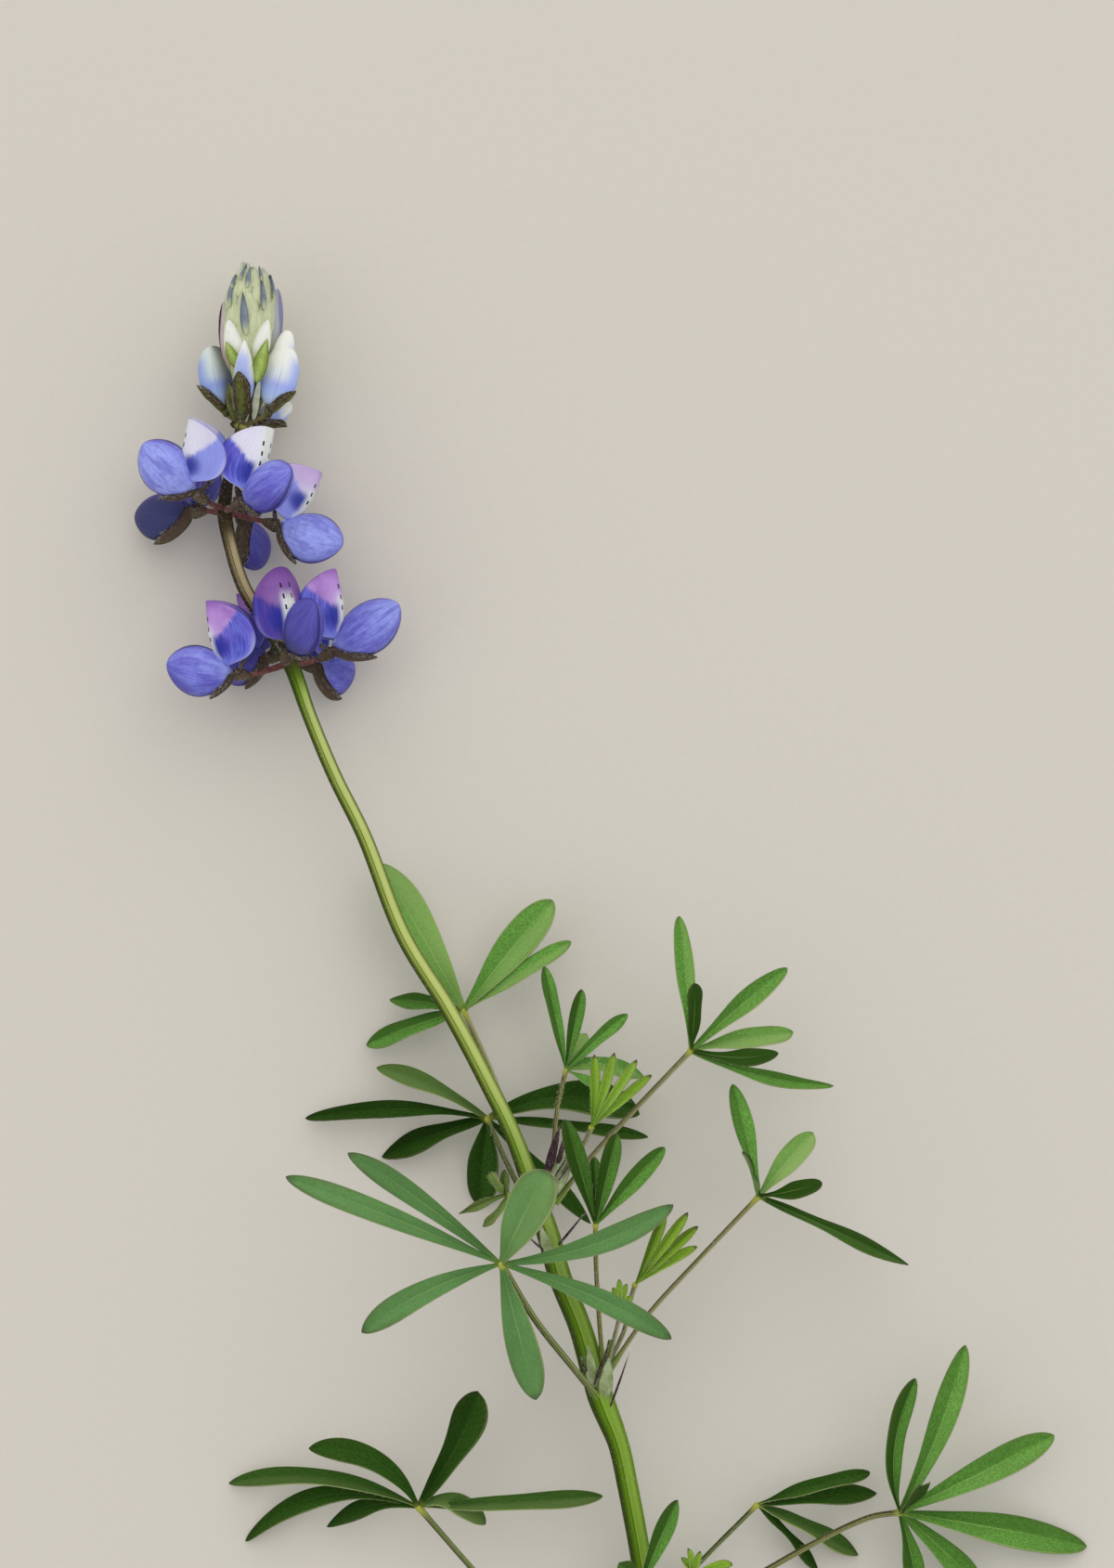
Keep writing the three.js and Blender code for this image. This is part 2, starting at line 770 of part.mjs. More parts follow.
function makeWings({ mouth, forward, up, sideways, wingLength }) {
  return pouch({
    start: moved(mouth, [forward, GAP]),
    along: forward,
    up,
    sideways,
    length: wingLength - GAP,
    height: WING_HEIGHT,
    thickness: WING_THICKNESS,
    lower: WING_LOWER_SHARE,
    heights: WING_HEIGHTS,
    widths: [0.35, 0.7, 0.98, 1, 0.75, 0.3],
  });
}

// The banner from its claw to its round top: share of its height, share of its half width
// and share of the bulge that its midline makes towards the wings
const BANNER_OUTLINE = [
  [0, 0.13, 0],
  [0.13, 0.2, 0.6],
  [0.3, 0.84, 1],
  [0.55, 1, 0.9],
  [0.82, 0.68, 0.4],
  [1, 0.2, 0],
];
const BANNER_COLUMNS = [-1, -0.5, -0.13, 0.13, 0.5, 1];

function makeBanner({ mouth, forward, midline, sideways, backward, bannerLength }, spread, narrow) {
  const angle = THREE.MathUtils.degToRad(spread);
  const start = moved(mouth, [forward, GAP + PETAL], [midline, BANNER_FOOT]);
  const rows = BANNER_OUTLINE.map(([place, share, bulge]) => {
    const climbed = (bannerLength - BANNER_FOOT) * place;
    const half = BANNER_HALF_WIDTH * narrow * share;
    return BANNER_COLUMNS.map((column) => {
      const reach = Math.abs(column) * half;
      const strip = Math.min(reach, BANNER_STRIP);
      const beyond = reach - strip;
      return moved(
        start,
        [midline, climbed],
        [sideways, Math.sign(column) * (strip + beyond * Math.sin(angle))],
        [backward, beyond * Math.cos(angle) - bulge * BANNER_BULGE * (1 - beyond / BANNER_HALF_WIDTH)],
      );
    });
  });
  return sheet(rows, PETAL);
}

function makePetals(flower) {
  const axes = flowerAxes(flower);
  return fuse([makeWings(axes), makeBanner(axes, flower.spread, flower.narrow ?? 1)]);
}

// A pointed blade beside a line: it keeps the distance that edge gives along the way
function makeLip({ start, along, sideways, away, length, width, edge, outline }) {
  const rows = outline.map((share, i) => {
    const gone = (length * i) / (outline.length - 1);
    const centre = moved(start, [along, gone], [away, edge(gone)]);
    return [-1, 0, 1].map((side) => moved(
      centre,
      [sideways, (side * width * share) / 2],
      [away, -Math.abs(side) * LIP_HOLLOW * share],
    ));
  });
  return sheet(rows, PETAL);
}

// A stalklet that ends just clear of the stem
function makePedicel(places, spans) {
  const curve = curveThrough(places);
  const to = stalkEnd(curve, PEDICEL_RADIUS);
  return bar(curve, [PEDICEL_RADIUS, PEDICEL_RADIUS], { sides: 5, spans, to });
}

// How far a lip lies from the line through the cup: out over its edge, then along the petals
function lipEdge(gone, cupRadius, petalHalf, petalHeights, petalLength) {
  const share = mix(petalHeights, Math.max(gone - LIP_ROOT, 0) / petalLength);
  return Math.min(petalHalf * share + LIP_CLEAR, cupRadius * 0.7 + gone * LIP_FLARE);
}

const LOWER_LIP_OUTLINE = [0.7, 1, 0.8, 0.12];
const UPPER_LIP_OUTLINE = [0.9, 1, 0.2];

function makeCalyx(flower) {
  const { mouth, forward, midline, up, sideways, backward, wingLength } = flowerAxes(flower);
  const foot = moved(mouth, [forward, -CUP_DEPTH]);
  const cupLine = new THREE.LineCurve3(foot, moved(mouth, [forward, -CUP_EDGE]));
  const cup = bar(cupLine, [PEDICEL_RADIUS, CUP_RADIUS, CUP_RADIUS], { spans: 2 });
  const stemPlace = spot(flower.stem);
  const pedicel = makePedicel([
    moved(foot, [forward, CUP_DEPTH / 4]),
    foot.clone().lerp(stemPlace, PEDICEL_BEND),
    stemPlace,
  ], 3);
  const wingHalf = (WING_HEIGHT / 2) * WING_LOWER_SHARE;
  const lowerLip = makeLip({
    start: moved(mouth, [forward, -LIP_ROOT]),
    along: forward,
    sideways,
    away: up.clone().negate(),
    length: LOWER_LIP,
    width: LOWER_LIP_WIDTH,
    edge: (gone) => lipEdge(gone, CUP_RADIUS, wingHalf, WING_HEIGHTS, wingLength),
    outline: LOWER_LIP_OUTLINE,
  });
  const upperLip = makeLip({
    start: moved(mouth, [forward, -LIP_ROOT], [up, CUP_RADIUS * 0.4]),
    along: midline.clone().addScaledVector(backward, UPPER_LIP_LEAN).normalize(),
    sideways,
    away: backward,
    length: UPPER_LIP,
    width: UPPER_LIP_WIDTH,
    edge: () => 0,
    outline: UPPER_LIP_OUTLINE,
  });
  return fuse([cup, pedicel, lowerLip, upperLip]);
}

// Large closed buds below the tip: foot and tip of the petals, tip of the calyx lip, and the
// petals' height and thickness
const BUDS = [
  {
    name: 'bud_left',
    base: [241, 437, 10.8],
    tip: [222, 374, 11.2],
    lip: [212.5, 415, 11.5],
    height: 4.8,
    thickness: 3.6,
  },
  {
    name: 'bud_right',
    base: [289, 438, 12.4],
    tip: [308, 358, 13],
    lip: [318, 421, 13.4],
    height: 5.4,
    thickness: 3.8,
  },
  {
    name: 'bud_front',
    base: [262, 440, 13.6],
    tip: [264, 366, 16.4],
    lip: [257, 400, 18],
    height: 2.8,
    thickness: 3.2,
  },
  {
    name: 'bud_right_low',
    base: [280, 452, 8.6],
    tip: [314, 436, 4.6],
    lip: [309, 459, 5.4],
    height: 3.6,
    thickness: 3,
  },
  {
    name: 'bud_back',
    base: [258, 440, 7.2],
    tip: [252, 376, 3.6],
    lip: [246, 404, 2.2],
    height: 3.2,
    thickness: 3.4,
  },
];
const BUD_NODE = [261, 456, 10.5];
const BUD_HEIGHTS = [0.4, 0.85, 1, 0.9, 0.62, 0.2];
const BUD_LIP_WIDTH = 2.1;
const BUD_CUP_DEPTH = 1.7;
const BUD_CUP_RADIUS = 0.95;

function budAxes(bud) {
  const base = spot(bud.base);
  const along = spot(bud.tip).sub(base);
  const length = along.length();
  along.normalize();
  const towardsLip = spot(bud.lip).sub(base);
  const sideways = new THREE.Vector3().crossVectors(along, towardsLip).normalize();
  const up = new THREE.Vector3().crossVectors(sideways, along).normalize();
  return { base, along, length, sideways, up };
}

function makeBudPetals(bud) {
  const { base, along, length, sideways, up } = budAxes(bud);
  return pouch({
    start: moved(base, [along, GAP]),
    along,
    up,
    sideways,
    length: length - GAP,
    height: bud.height,
    thickness: bud.thickness,
    heights: BUD_HEIGHTS,
    widths: [0.4, 0.85, 1, 0.85, 0.55, 0.2],
  });
}

function makeBudCalyx(bud) {
  const { base, along, length, sideways, up } = budAxes(bud);
  const foot = moved(base, [along, -BUD_CUP_DEPTH]);
  const cupLine = new THREE.LineCurve3(foot, moved(base, [along, -CUP_EDGE]));
  const cup = bar(cupLine, [PEDICEL_RADIUS, BUD_CUP_RADIUS, BUD_CUP_RADIUS], { spans: 2 });
  const pedicel = makePedicel([moved(foot, [along, BUD_CUP_DEPTH / 4]), spot(BUD_NODE)], 2);
  const lip = makeLip({
    start: moved(base, [along, -LIP_ROOT]),
    along,
    sideways,
    away: up,
    length: spot(bud.lip).sub(base).dot(along) + LIP_ROOT,
    width: BUD_LIP_WIDTH,
    edge: (gone) => lipEdge(gone, BUD_CUP_RADIUS, bud.height / 2, BUD_HEIGHTS, length),
    outline: LOWER_LIP_OUTLINE,
  });
  return fuse([cup, pedicel, lip]);
}

// The tip of the spike: a slim core with pointed scale-like buds laid over it in a spiral
const CONE_FOOT = [262, 446, 10.5];
const CONE_TIP = [273, 288, 10.4];
const CONE_RADII = [0.6, 1.2, 2.5, 3.3, 2.9, 0.9];
// The scales: the first and last place along the tip, and the first and last length
const SCALE_COUNT = 16;
const SCALE_PLACES = [0.22, 0.84];
const SCALE_LENGTHS = [7.6, 4.4];
const SCALE_WIDTHS = [2.7, 2.05];
const SCALE_THICKNESS = 1.7;
const SCALE_OUTLINE = [0.5, 1, 0.8, 0.16];
// Root of a scale as a share of the core's radius, and how far its tip stands off the core
const SCALE_SUNK = 0.7;
const SCALE_PROUD = 0.35;
const GOLDEN_ANGLE = THREE.MathUtils.degToRad(137.5);
// Two slim closed buds that lie against the sides of the tip: root, tip
const SIDE_BUDS = [
  [[253, 402, 10.8], [241, 328, 11.2]],
  [[284, 384, 9.6], [298, 312, 9.8]],
];
const SIDE_BUD_SIZE = [2.2, 2.6];

// A slim closed bud from its root to its tip, with the direction that its width lies in
function makeSlimBud(root, end, across, [width, thickness]) {
  const along = end.clone().sub(root);
  const length = along.length();
  along.normalize();
  return pouch({
    start: root,
    along,
    up: across,
    sideways: new THREE.Vector3().crossVectors(along, across).normalize(),
    length,
    height: width,
    thickness,
    heights: SCALE_OUTLINE,
    widths: SCALE_OUTLINE,
    sides: 5,
  });
}

function makeCone() {
  const foot = spot(CONE_FOOT);
  const tip = spot(CONE_TIP);
  const height = foot.distanceTo(tip);
  const axis = tip.clone().sub(foot).normalize();
  const { side, upright } = sectionAxes(axis);
  const parts = [bar(new THREE.LineCurve3(foot, tip), CONE_RADII, { sides: 6, spans: 5 })];
  for (let i = 0; i < SCALE_COUNT; i += 1) {
    const share = i / (SCALE_COUNT - 1);
    const place = mix(SCALE_PLACES, share);
    const length = mix(SCALE_LENGTHS, share);
    const angle = i * GOLDEN_ANGLE;
    const outward = side.clone().multiplyScalar(Math.cos(angle)).addScaledVector(upright, Math.sin(angle));
    const around = new THREE.Vector3().crossVectors(axis, outward);
    const centre = foot.clone().lerp(tip, place);
    const tipPlace = Math.min(place + length / height, 1);
    const root = moved(centre, [outward, mix(CONE_RADII, place) * SCALE_SUNK]);
    const end = moved(centre, [axis, length], [outward, mix(CONE_RADII, tipPlace) + SCALE_PROUD]);
    parts.push(makeSlimBud(root, end, around, [mix(SCALE_WIDTHS, share), SCALE_THICKNESS]));
  }
  for (const ends of SIDE_BUDS) {
    const [root, end] = ends.map(spot);
    const level = sectionAxes(end.clone().sub(root).normalize());
    parts.push(makeSlimBud(root, end, level.side, SIDE_BUD_SIZE));
  }
  return fuse(parts);
}

function piece(name, geometry, finish) {
  const flat = geometry.index ? geometry.toNonIndexed() : geometry;
  flat.computeVertexNormals();
  const mesh = new THREE.Mesh(flat, new THREE.MeshStandardMaterial({ metalness: 0, ...finish }));
  mesh.name = name;
  return mesh;
}

function leafFinish(leaf) {
  if (leaf.wilted) {
    return COLOURS.wilted;
  }
  return leaf.young ? COLOURS.youngLeaf : COLOURS.leaf;
}

const sprig = new THREE.Group();
sprig.add(piece('stem', makeStem(), COLOURS.stem));
for (const leaf of LEAVES) {
  sprig.add(piece(leaf.name, makeLeaf(leaf), leafFinish(leaf)));
}
for (const flower of FLOWERS) {
  const petalFinish = flower.name.startsWith('lower') ? COLOURS.oldPetals : COLOURS.petals;
  sprig.add(piece(`${flower.name}_petals`, makePetals(flower), petalFinish));
  sprig.add(piece(`${flower.name}_calyx`, makeCalyx(flower), COLOURS.calyx));
}
for (const bud of BUDS) {
  sprig.add(piece(`${bud.name}_petals`, makeBudPetals(bud), COLOURS.bud));
  sprig.add(piece(`${bud.name}_calyx`, makeBudCalyx(bud), COLOURS.calyx));
}
sprig.add(piece('bud_cone', makeCone(), COLOURS.cone));

export default sprig;
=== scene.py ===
"""A cut sprig of lupin in flower that lies on a pale table, seen from straight above.

Every shape is a grid of points worked out with numpy: rings of points in rows, closed at
both ends. Places are given on a drawing sheet as steps right, steps down and millimetres
above the table, and spot() turns them into metres. A shape function gives rings of points
and the values painted on them, and a Shape gathers them as one mesh."""
from collections import namedtuple

import bpy
import numpy as np
from bpy.props import FloatProperty, FloatVectorProperty, IntProperty, PointerProperty
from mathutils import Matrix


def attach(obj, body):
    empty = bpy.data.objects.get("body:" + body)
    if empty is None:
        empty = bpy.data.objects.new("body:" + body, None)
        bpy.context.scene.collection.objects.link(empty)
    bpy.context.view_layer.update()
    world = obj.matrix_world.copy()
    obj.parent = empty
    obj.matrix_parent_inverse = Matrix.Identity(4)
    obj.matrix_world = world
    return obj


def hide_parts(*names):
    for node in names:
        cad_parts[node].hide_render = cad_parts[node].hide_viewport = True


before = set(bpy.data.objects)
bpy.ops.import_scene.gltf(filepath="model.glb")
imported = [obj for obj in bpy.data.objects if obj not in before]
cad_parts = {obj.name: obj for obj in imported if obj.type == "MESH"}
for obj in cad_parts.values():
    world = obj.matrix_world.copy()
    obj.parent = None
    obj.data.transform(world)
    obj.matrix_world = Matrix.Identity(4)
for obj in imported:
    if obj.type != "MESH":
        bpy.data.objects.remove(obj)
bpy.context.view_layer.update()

bl_info = {
    "name": "Lupin sprig",
    "version": (1, 0, 0),
    "blender": (4, 5, 0),
    "location": "3D View > Sidebar > Lupin",
    "description": "Leaves, flowers, buds and stem of a cut lupin sprig",
    "category": "Add Mesh",
}

MM = 0.001
UP = np.array([0.0, 0.0, 1.0])
# Painted light: the half of a leaflet that lies towards this side is painted paler, the other half
# darker
PAINTED_LIGHT_SIDE = np.array([0.7, -0.7, 0.0])

# The drawing sheet and the eye above it
STEP = 0.14 * MM
SHEET_MIDDLE = (600, 844.5)
SHEET_TALL = 1689
EYE = 605 * MM
TRUE_HEIGHT = 14 * MM
BOX_MIDDLE = (8.4 * MM, -44.5 * MM)
SENSOR = 36.0
NEAREST = 0.01

# The table, the light from all round, and the two lights: name, place, size in metres, watts
# and colour
TABLE_REACH = 3.0
TABLE_LEVEL = -0.05 * MM
SKY_COLOUR = (0.98, 0.98, 1.0, 1.0)
SKY_STRENGTH = 0.68
LIGHTS = [
    ("key_light", (0.5, 1.9, 2.7), 4.2, 57, (1.0, 0.98, 0.95)),
    ("fill_light", (-2.2, -0.6, 2.2), 2.2, 8, (0.95, 0.97, 1.0)),
]

# A hair: its rings as shares of its length, and their radii as shares of its root's
HAIR_PLACES = (-0.08, 0.45, 0.97)
HAIR_TAPER = (1.0, 0.75, 0.25)
HAIR_SIDES = 3

# Flower measures
WING_HEIGHT = 7.4 * MM
WING_THICKNESS = 4.8 * MM
WING_LOWER_SHARE = 1.12
WING_START = 0.15 * MM
WING_GAP = 0.02 * MM
WING_DROOP = 0.5 * MM
PLEAT = 0.1 * MM
KEEL_HEIGHT = 3.4 * MM
KEEL_WIDTH = 1.4 * MM
BANNER_HALF = 7.8 * MM
BANNER_FOOT = 0.6 * MM
BANNER_START = 0.6 * MM
BANNER_BULGE = 1.4 * MM
BULGE_PLACES = (0, 0.13, 0.3, 0.55, 0.82, 1)
BULGE_SHARES = (0, 0.6, 1, 0.9, 0.4, 0)
BANNER_BEND = 0.95 * MM
BANNER_CURL = np.radians(14)
RIM_WAVE = 0.16 * MM
GROOVE = 0.1 * MM
GROOVE_WIDTH = 0.35 * MM
CUP_DEPTH = 2.6 * MM
CUP_RADIUS = 1.15 * MM
BUD_CUP_DEPTH = 1.7 * MM
BUD_CUP_RADIUS = 0.95 * MM
PEDICEL = 0.42 * MM
LOWER_LIP_WIDTH = 2.7 * MM
BUD_LIP_WIDTH = 2.8 * MM
UPPER_LIP = 2.6 * MM
UPPER_LIP_WIDTH = 1.5 * MM
LIP_ROOT = 0.9 * MM
LIP_FLARE = 1.6
LIP_CLEAR = 0.45 * MM
LIP_START = 0.5 * MM
CREST_HEIGHT = 4.0 * MM
CREST_THICKNESS = 2.4 * MM
CREASE_PLACE = 0.22
SIDE_BUD_THICKNESS = 2.2 * MM
SCALE_THICKNESS = 0.4 * MM
GOLDEN_ANGLE = np.radians(137.5)

# The stem from its cut foot to the tip of the spike: place and radius in millimetres
STEM_WAY = [
    ((768, 2010, 1.6), 1.6),
    ((742, 1940, 1.6), 1.6),
    ((722, 1870, 1.6), 1.6),
    ((709, 1815, 2.2), 1.62),
    ((700, 1760, 3.8), 1.65),
    ((692, 1689, 6.6), 1.6),
    ((676, 1600, 10), 1.6),
    ((666, 1555, 11.6), 1.6),
    ((647, 1505, 13), 2.0),
    ((625, 1430, 14.4), 1.75),
    ((603, 1375, 15), 1.75),
    ((592, 1335, 15), 1.75),
    ((577, 1290, 15), 1.55),
    ((552, 1221, 15), 1.3),
    ((526, 1168, 14.6), 1.28),
    ((484, 1089, 14), 1.25),
    ((434, 1007, 13), 1.2),
    ((392, 900, 12.2), 1.15),
    ((360, 835, 11.8), 1.12),
    ((333, 770, 11.4), 1.1),
    ((313, 715, 11), 1.25),
    ((290, 676, 11), 1.1),
    ((263, 633, 11), 1.08),
    ((249, 590, 11), 1.05),
    ((242, 550, 11), 1.15),
    ((247, 510, 10.8), 0.75),
    ((256, 470, 10.5), 0.6),
    ((261, 455, 10.5), 0.9),
]

# Slant of the cut, grid and ribs of the stem, where on it the lower whorl sits, and the
# place in its colours that the side shoot takes
STEM_SLANT = 0.8
STEM_ROWS = 300
STEM_SIDES = 40
STEM_RIBS = 10
STEM_RIB_DEPTH = 0.022
LOWER_WHORL = 0.741
SHOOT_TONE = 0.34
SIDE_SHOOT = [((648, 1500, 13.2), 1.0), ((654, 1470, 14.2), 0.8), ((658, 1444, 14.8), 0.4)]

# Blades that wrap the stem at its leaves: root, tip, width in millimetres
SHEATHS = [
    ((592, 1290, 15.8), (618, 1234, 17.0), 2.6),
    ((582, 1290, 15.8), (606, 1238, 17.0), 1.8),
    ((650, 1508, 14.2), (656, 1462, 16.2), 2.2),
    ((640, 1498, 14.6), (634, 1452, 16.6), 1.8),
    ((592, 1352, 16.0), (583, 1322, 17.2), 1.6),
]

# Dark thread-like stipules: root, tip, width in millimetres
STIPULES = [
    ((590, 1350, 16.2), (568, 1331, 17.8), 0.4),
    ((598, 1345, 16.0), (631, 1305, 17.2), 0.4),
    ((656, 1519, 14), (678, 1457, 17.2), 0.36),
    ((640, 1492, 15.4), (655, 1448, 18), 0.5),
    ((588, 1268, 16.9), (603, 1212, 17.9), 1.35),
    ((600, 1256, 17.1), (611, 1216, 18.0), 0.8),
    ((597, 1268, 17.4), (616, 1238, 18.0), 0.3),
    ((601, 1272, 17.2), (620, 1246, 17.8), 0.3),
    ((636, 1486, 15), (626, 1462, 17), 0.4),
]

# Leaves: name, kind, the way the upper side looks, stalk radius in millimetres, stalk from
# the hub to the stem, and leaflets as tip, width, the place that each arches through if not
# the plain one, and tone, darker below 0 and paler above it, partly the leaflet's own green
# and partly painted shade and light
LEAVES = [
    ("leaf_low_left", "shade", (-0.35, 0.6, 0.72), 0.5,
     [(451, 1623.5, 12), (508, 1689, 9.5), (600, 1790, 5.5), (735, 1905, 1.8)],
     [((515, 1499, 16), 6.2, (495, 1554, 14.5), -0.3),
      ((333, 1560, 13), 3.8, (404, 1574, 15.5), 0.0),
      ((247, 1598, 0.6), 3.2, (350, 1592, 9), 0.3),
      ((265, 1660, 0.6), 3.6, (349, 1612, 7), -0.15),
      ((353, 1644, 4), 3.0, (403, 1622, 9.5), -0.3),
      ((649, 1612, 9), 3.1, (552, 1619, 12.5), 0.4),
      ((523, 1641, 9), 3.4, (486, 1618, 12), 0.6)]),
    ("leaf_low_right", "leaf", (0.35, 0.35, 0.87), 0.52,
     [(969, 1629, 9.5), (935, 1635, 9.6), (835, 1685.5, 8.4), (760, 1735, 6.4), (704, 1790, 3)],
     [((986, 1485, 14), 3.6, (963, 1560, 13), -0.5),
      ((1040, 1449, 12), 4.2, (1009, 1546, 12.5), 0.05),
      ((1135, 1546, 7), 4.8, (1058, 1586, 10), 0.05),
      ((1170, 1666, 0.6), 5.4, None, -0.1),
      ((1060, 1715, 3), 4.2, None, -0.2),
      ((990, 1725, 6), 3.6, None, -0.5),
      ((992, 1600, 19), 5.6, None, -1.3)]),
    ("leaf_low_middle", "shade", (0.2, 0.7, 0.68), 0.42,
     [(815.5, 1621, 7), (754, 1683, 3.6), (696, 1748, 4)],
     [((937, 1587, 7), 2.8, (876, 1601, 8.6), 0.0),
      ((944, 1608.5, 4), 3.4, None, -0.1),
      ((924, 1675, 1.2), 3.4, None, 0.4),
      ((882, 1694, 1.2), 2.4, None, -0.3)]),
    ("leaf_foot_front", "leaf", (0, 0.35, 0.93), 0.45,
     [(690, 1708, 11.5), (694, 1740, 9.5), (700, 1775, 5)],
     [((730, 1616, 17), 3.0, None, -0.4),
      ((668, 1683, 17), 2.8, None, -0.6),
      ((628, 1716, 12), 3.0, None, 0),
      ((655, 1782, 9), 3.0, None, 0.2),
      ((738, 1768, 13), 3.0, None, 0)]),
    ("tuft_foot", "young", (0.1, 0.6, 0.8), 0.4,
     [(745, 1700, 8.5), (728, 1735, 7), (705, 1770, 4)],
     [((734, 1678, 11), 1.4, None, 0),
      ((741, 1668, 12), 1.4, None, 0.2),
      ((754, 1671, 11.5), 1.4, None, 0.1),
      ((789, 1685, 10), 2.2, None, 0.2)]),
    ("leaf_front", "near", (-0.15, 0.3, 0.94), 0.58,
     [(540, 1361.5, 38), (574, 1418, 32.5), (618, 1474, 22), (646, 1508, 13.5)],
     [((308, 1268, 40), 3.5, (420, 1311, 41.5), 0.1),
      ((375, 1242, 40), 3.3, (452, 1293, 41.5), -0.2),
      ((590, 1261, 45), 7.0, None, 0.5),
      ((725, 1298, 40), 3.6, (640, 1341, 41.5), -0.1),
      ((723, 1442, 37), 3.4, (640, 1397, 40), 0),
      ((578, 1507, 33), 5.0, None, 0.1),
      ((390, 1435, 36), 4.0, (458, 1392, 39), 0)]),
    ("leaf_right", "leaf", (0.25, 0.7, 0.66), 0.42,
     [(817, 1289, 22), (756, 1353, 19), (697.5, 1417, 16.5), (656, 1476, 14.2)],
     [((789, 1168, 20), 3.2, None, -0.1),
      ((801, 1243, 30), 3.6, None, -0.9),
      ((876, 1221, 18), 4.0, None, 1.0),
      ((885.5, 1274, 26), 3.4, (852, 1284, 25), -1.2),
      ((978, 1362.6, 10), 3.5, (893, 1324, 17), -0.9)]),
    ("leaf_upper_right", "leaf", (0.25, 0.65, 0.7), 0.45,
     [(744, 1132, 20), (720, 1157, 19), (666, 1214, 16.8), (632, 1252, 15.8), (598, 1296, 15)],
     [((731, 987, 17), 3.1, None, 0.35),
      ((748, 1059, 26), 3.0, None, -1.3),
      ((848, 1043, 18), 3.6, None, 0.0),
      ((854, 1113, 13), 3.6, None, 0.8),
      ((838.5, 1134.5, 24), 3.3, (793, 1140, 23), -1.3),
      ((897.5, 1170, 10), 2.8, (816, 1159, 16), -0.2)]),
    ("leaf_behind", "shade", (0, 0.6, 0.8), 0.45,
     [(525, 1205, 8), (540, 1240, 9.3), (556.5, 1274, 11.2), (580, 1312, 14.5)],
     [((406, 1150, 6), 3.1, (463, 1169, 8), 0.6),
      ((329.5, 1205, 2), 3.0, (430, 1195, 6.2), -0.4),
      ((412, 1246, 1.6), 4.4, None, -0.5),
      ((518, 1298, 1), 5.4, None, -0.2),
      ((636, 1318, 4), 2.9, None, 0),
      ((698, 1225, 6), 2.4, None, 0),
      ((688.5, 1200, 5), 5.8, (612, 1182, 7.6), 0)]),
    ("leaf_top", "leaf", (0.05, 0.55, 0.83), 0.45,
     [(499.6, 1089, 9), (528, 1152, 9.8), (548, 1205, 10.4), (562, 1245, 11.2), (580, 1290, 14)],
     [((408, 930, 6), 6.4, None, 0.8),
      ((595.5, 970, 10), 5.8, None, 0.5),
      ((615, 1014.6, 11), 3.0, None, 0.5),
      ((420.5, 1077, 4), 3.2, None, -0.5),
      ((395, 1126, 2.5), 3.9, None, -0.3)]),
    ("leaf_axil_upper", "leaf", (0.1, 0.6, 0.78), 0.4,
     [(609.5, 1153, 14), (601, 1190, 13.8), (597, 1226, 13.8), (590, 1280, 15)],
     [((586, 1041, 13), 2.3, None, -0.3),
      ((627, 1066, 12), 2.3, None, -0.5),
      ((676, 1092.5, 12), 2.3, None, -0.15),
      ((630, 1114, 8), 2.8, None, 1.6),
      ((693, 1160, 9), 3.4, (644, 1147, 12), 0.3),
      ((655, 1180, 16), 1.6, None, 0.2)]),
    ("young_fan_upper", "young", (0.2, 0.35, 0.92), 0.42,
     [(637, 1214.5, 19.5), (629, 1232, 18.6), (612, 1256, 17.4), (592, 1290, 15.4)],
     [((640, 1136, 24), 2.0, None, 0),
      ((662, 1134, 24.5), 2.0, None, 0.2),
      ((686, 1141.5, 24), 2.0, None, 0.4),
      ((702, 1158, 23), 2.0, None, 0.1)]),
    ("leaf_axil_lower", "leaf", (0.1, 0.45, 0.88), 0.4,
     [(641.5, 1319.6, 24), (642, 1360, 20.5), (644, 1400, 18), (650, 1480, 14.4)],
     [((608, 1206, 29), 3.2, None, -0.75),
      ((640, 1246, 25), 2.2, None, -0.6),
      ((664, 1221, 28), 3.0, None, -0.55),
      ((716, 1236, 27), 3.0, None, -0.25)]),
    ("young_fan_lower", "young", (0.3, 0.5, 0.8), 0.4,
     [(684, 1384, 18), (678, 1404, 16.8), (672, 1434, 15.2), (652, 1474, 14)],
     [((717, 1306, 20), 2.1, None, -0.45),
      ((741, 1306, 20.5), 2.1, None, -0.15),
      ((752, 1321, 20.5), 2.1, None, -0.35),
      ((751, 1343, 20), 2.0, None, 0.05)]),
    ("tuft_axil", "young", (0, 0.5, 0.86), 0.36,
     [(668, 1416, 20), (662, 1440, 18), (652, 1480, 14.2)],
     [((660, 1387, 21.5), 1.3, None, 0),
      ((667, 1378, 22), 1.3, None, 0.2),
      ((675, 1383, 21.8), 1.3, None, 0.1),
      ((681, 1396, 21.5), 1.3, None, 0)]),
    ("curled_leaf", "wilted", (-0.3, -0.2, 0.93), 0.4,
     [(547, 1286, 15.8), (560, 1288, 15.8), (578, 1294, 15)],
     [((529, 1262, 17.5), 2.0, None, 0.6),
      ((544, 1260, 18), 1.7, None, -0.3),
      ((494.5, 1307, 13), 1.6, (524, 1294, 15.8), 0),
      ((520.6, 1321, 13), 1.6, (537, 1306, 15.4), 0.3)]),
]

# Slot of each kind that isn't a plain leaf
LEAF_SLOTS = {"young": "young_leaf", "wilted": "wilted_leaf"}
# Hairs for each place of a stalk, the knuckle's radius as a share of the stalk's, and the
# arch and the root's thickness of a plain leaflet
STALK_HAIRS = 90
KNUCKLE = 1.1
LEAFLET_ARCH = 0.6 * MM
LEAFLET_NECK = 0.55 * MM
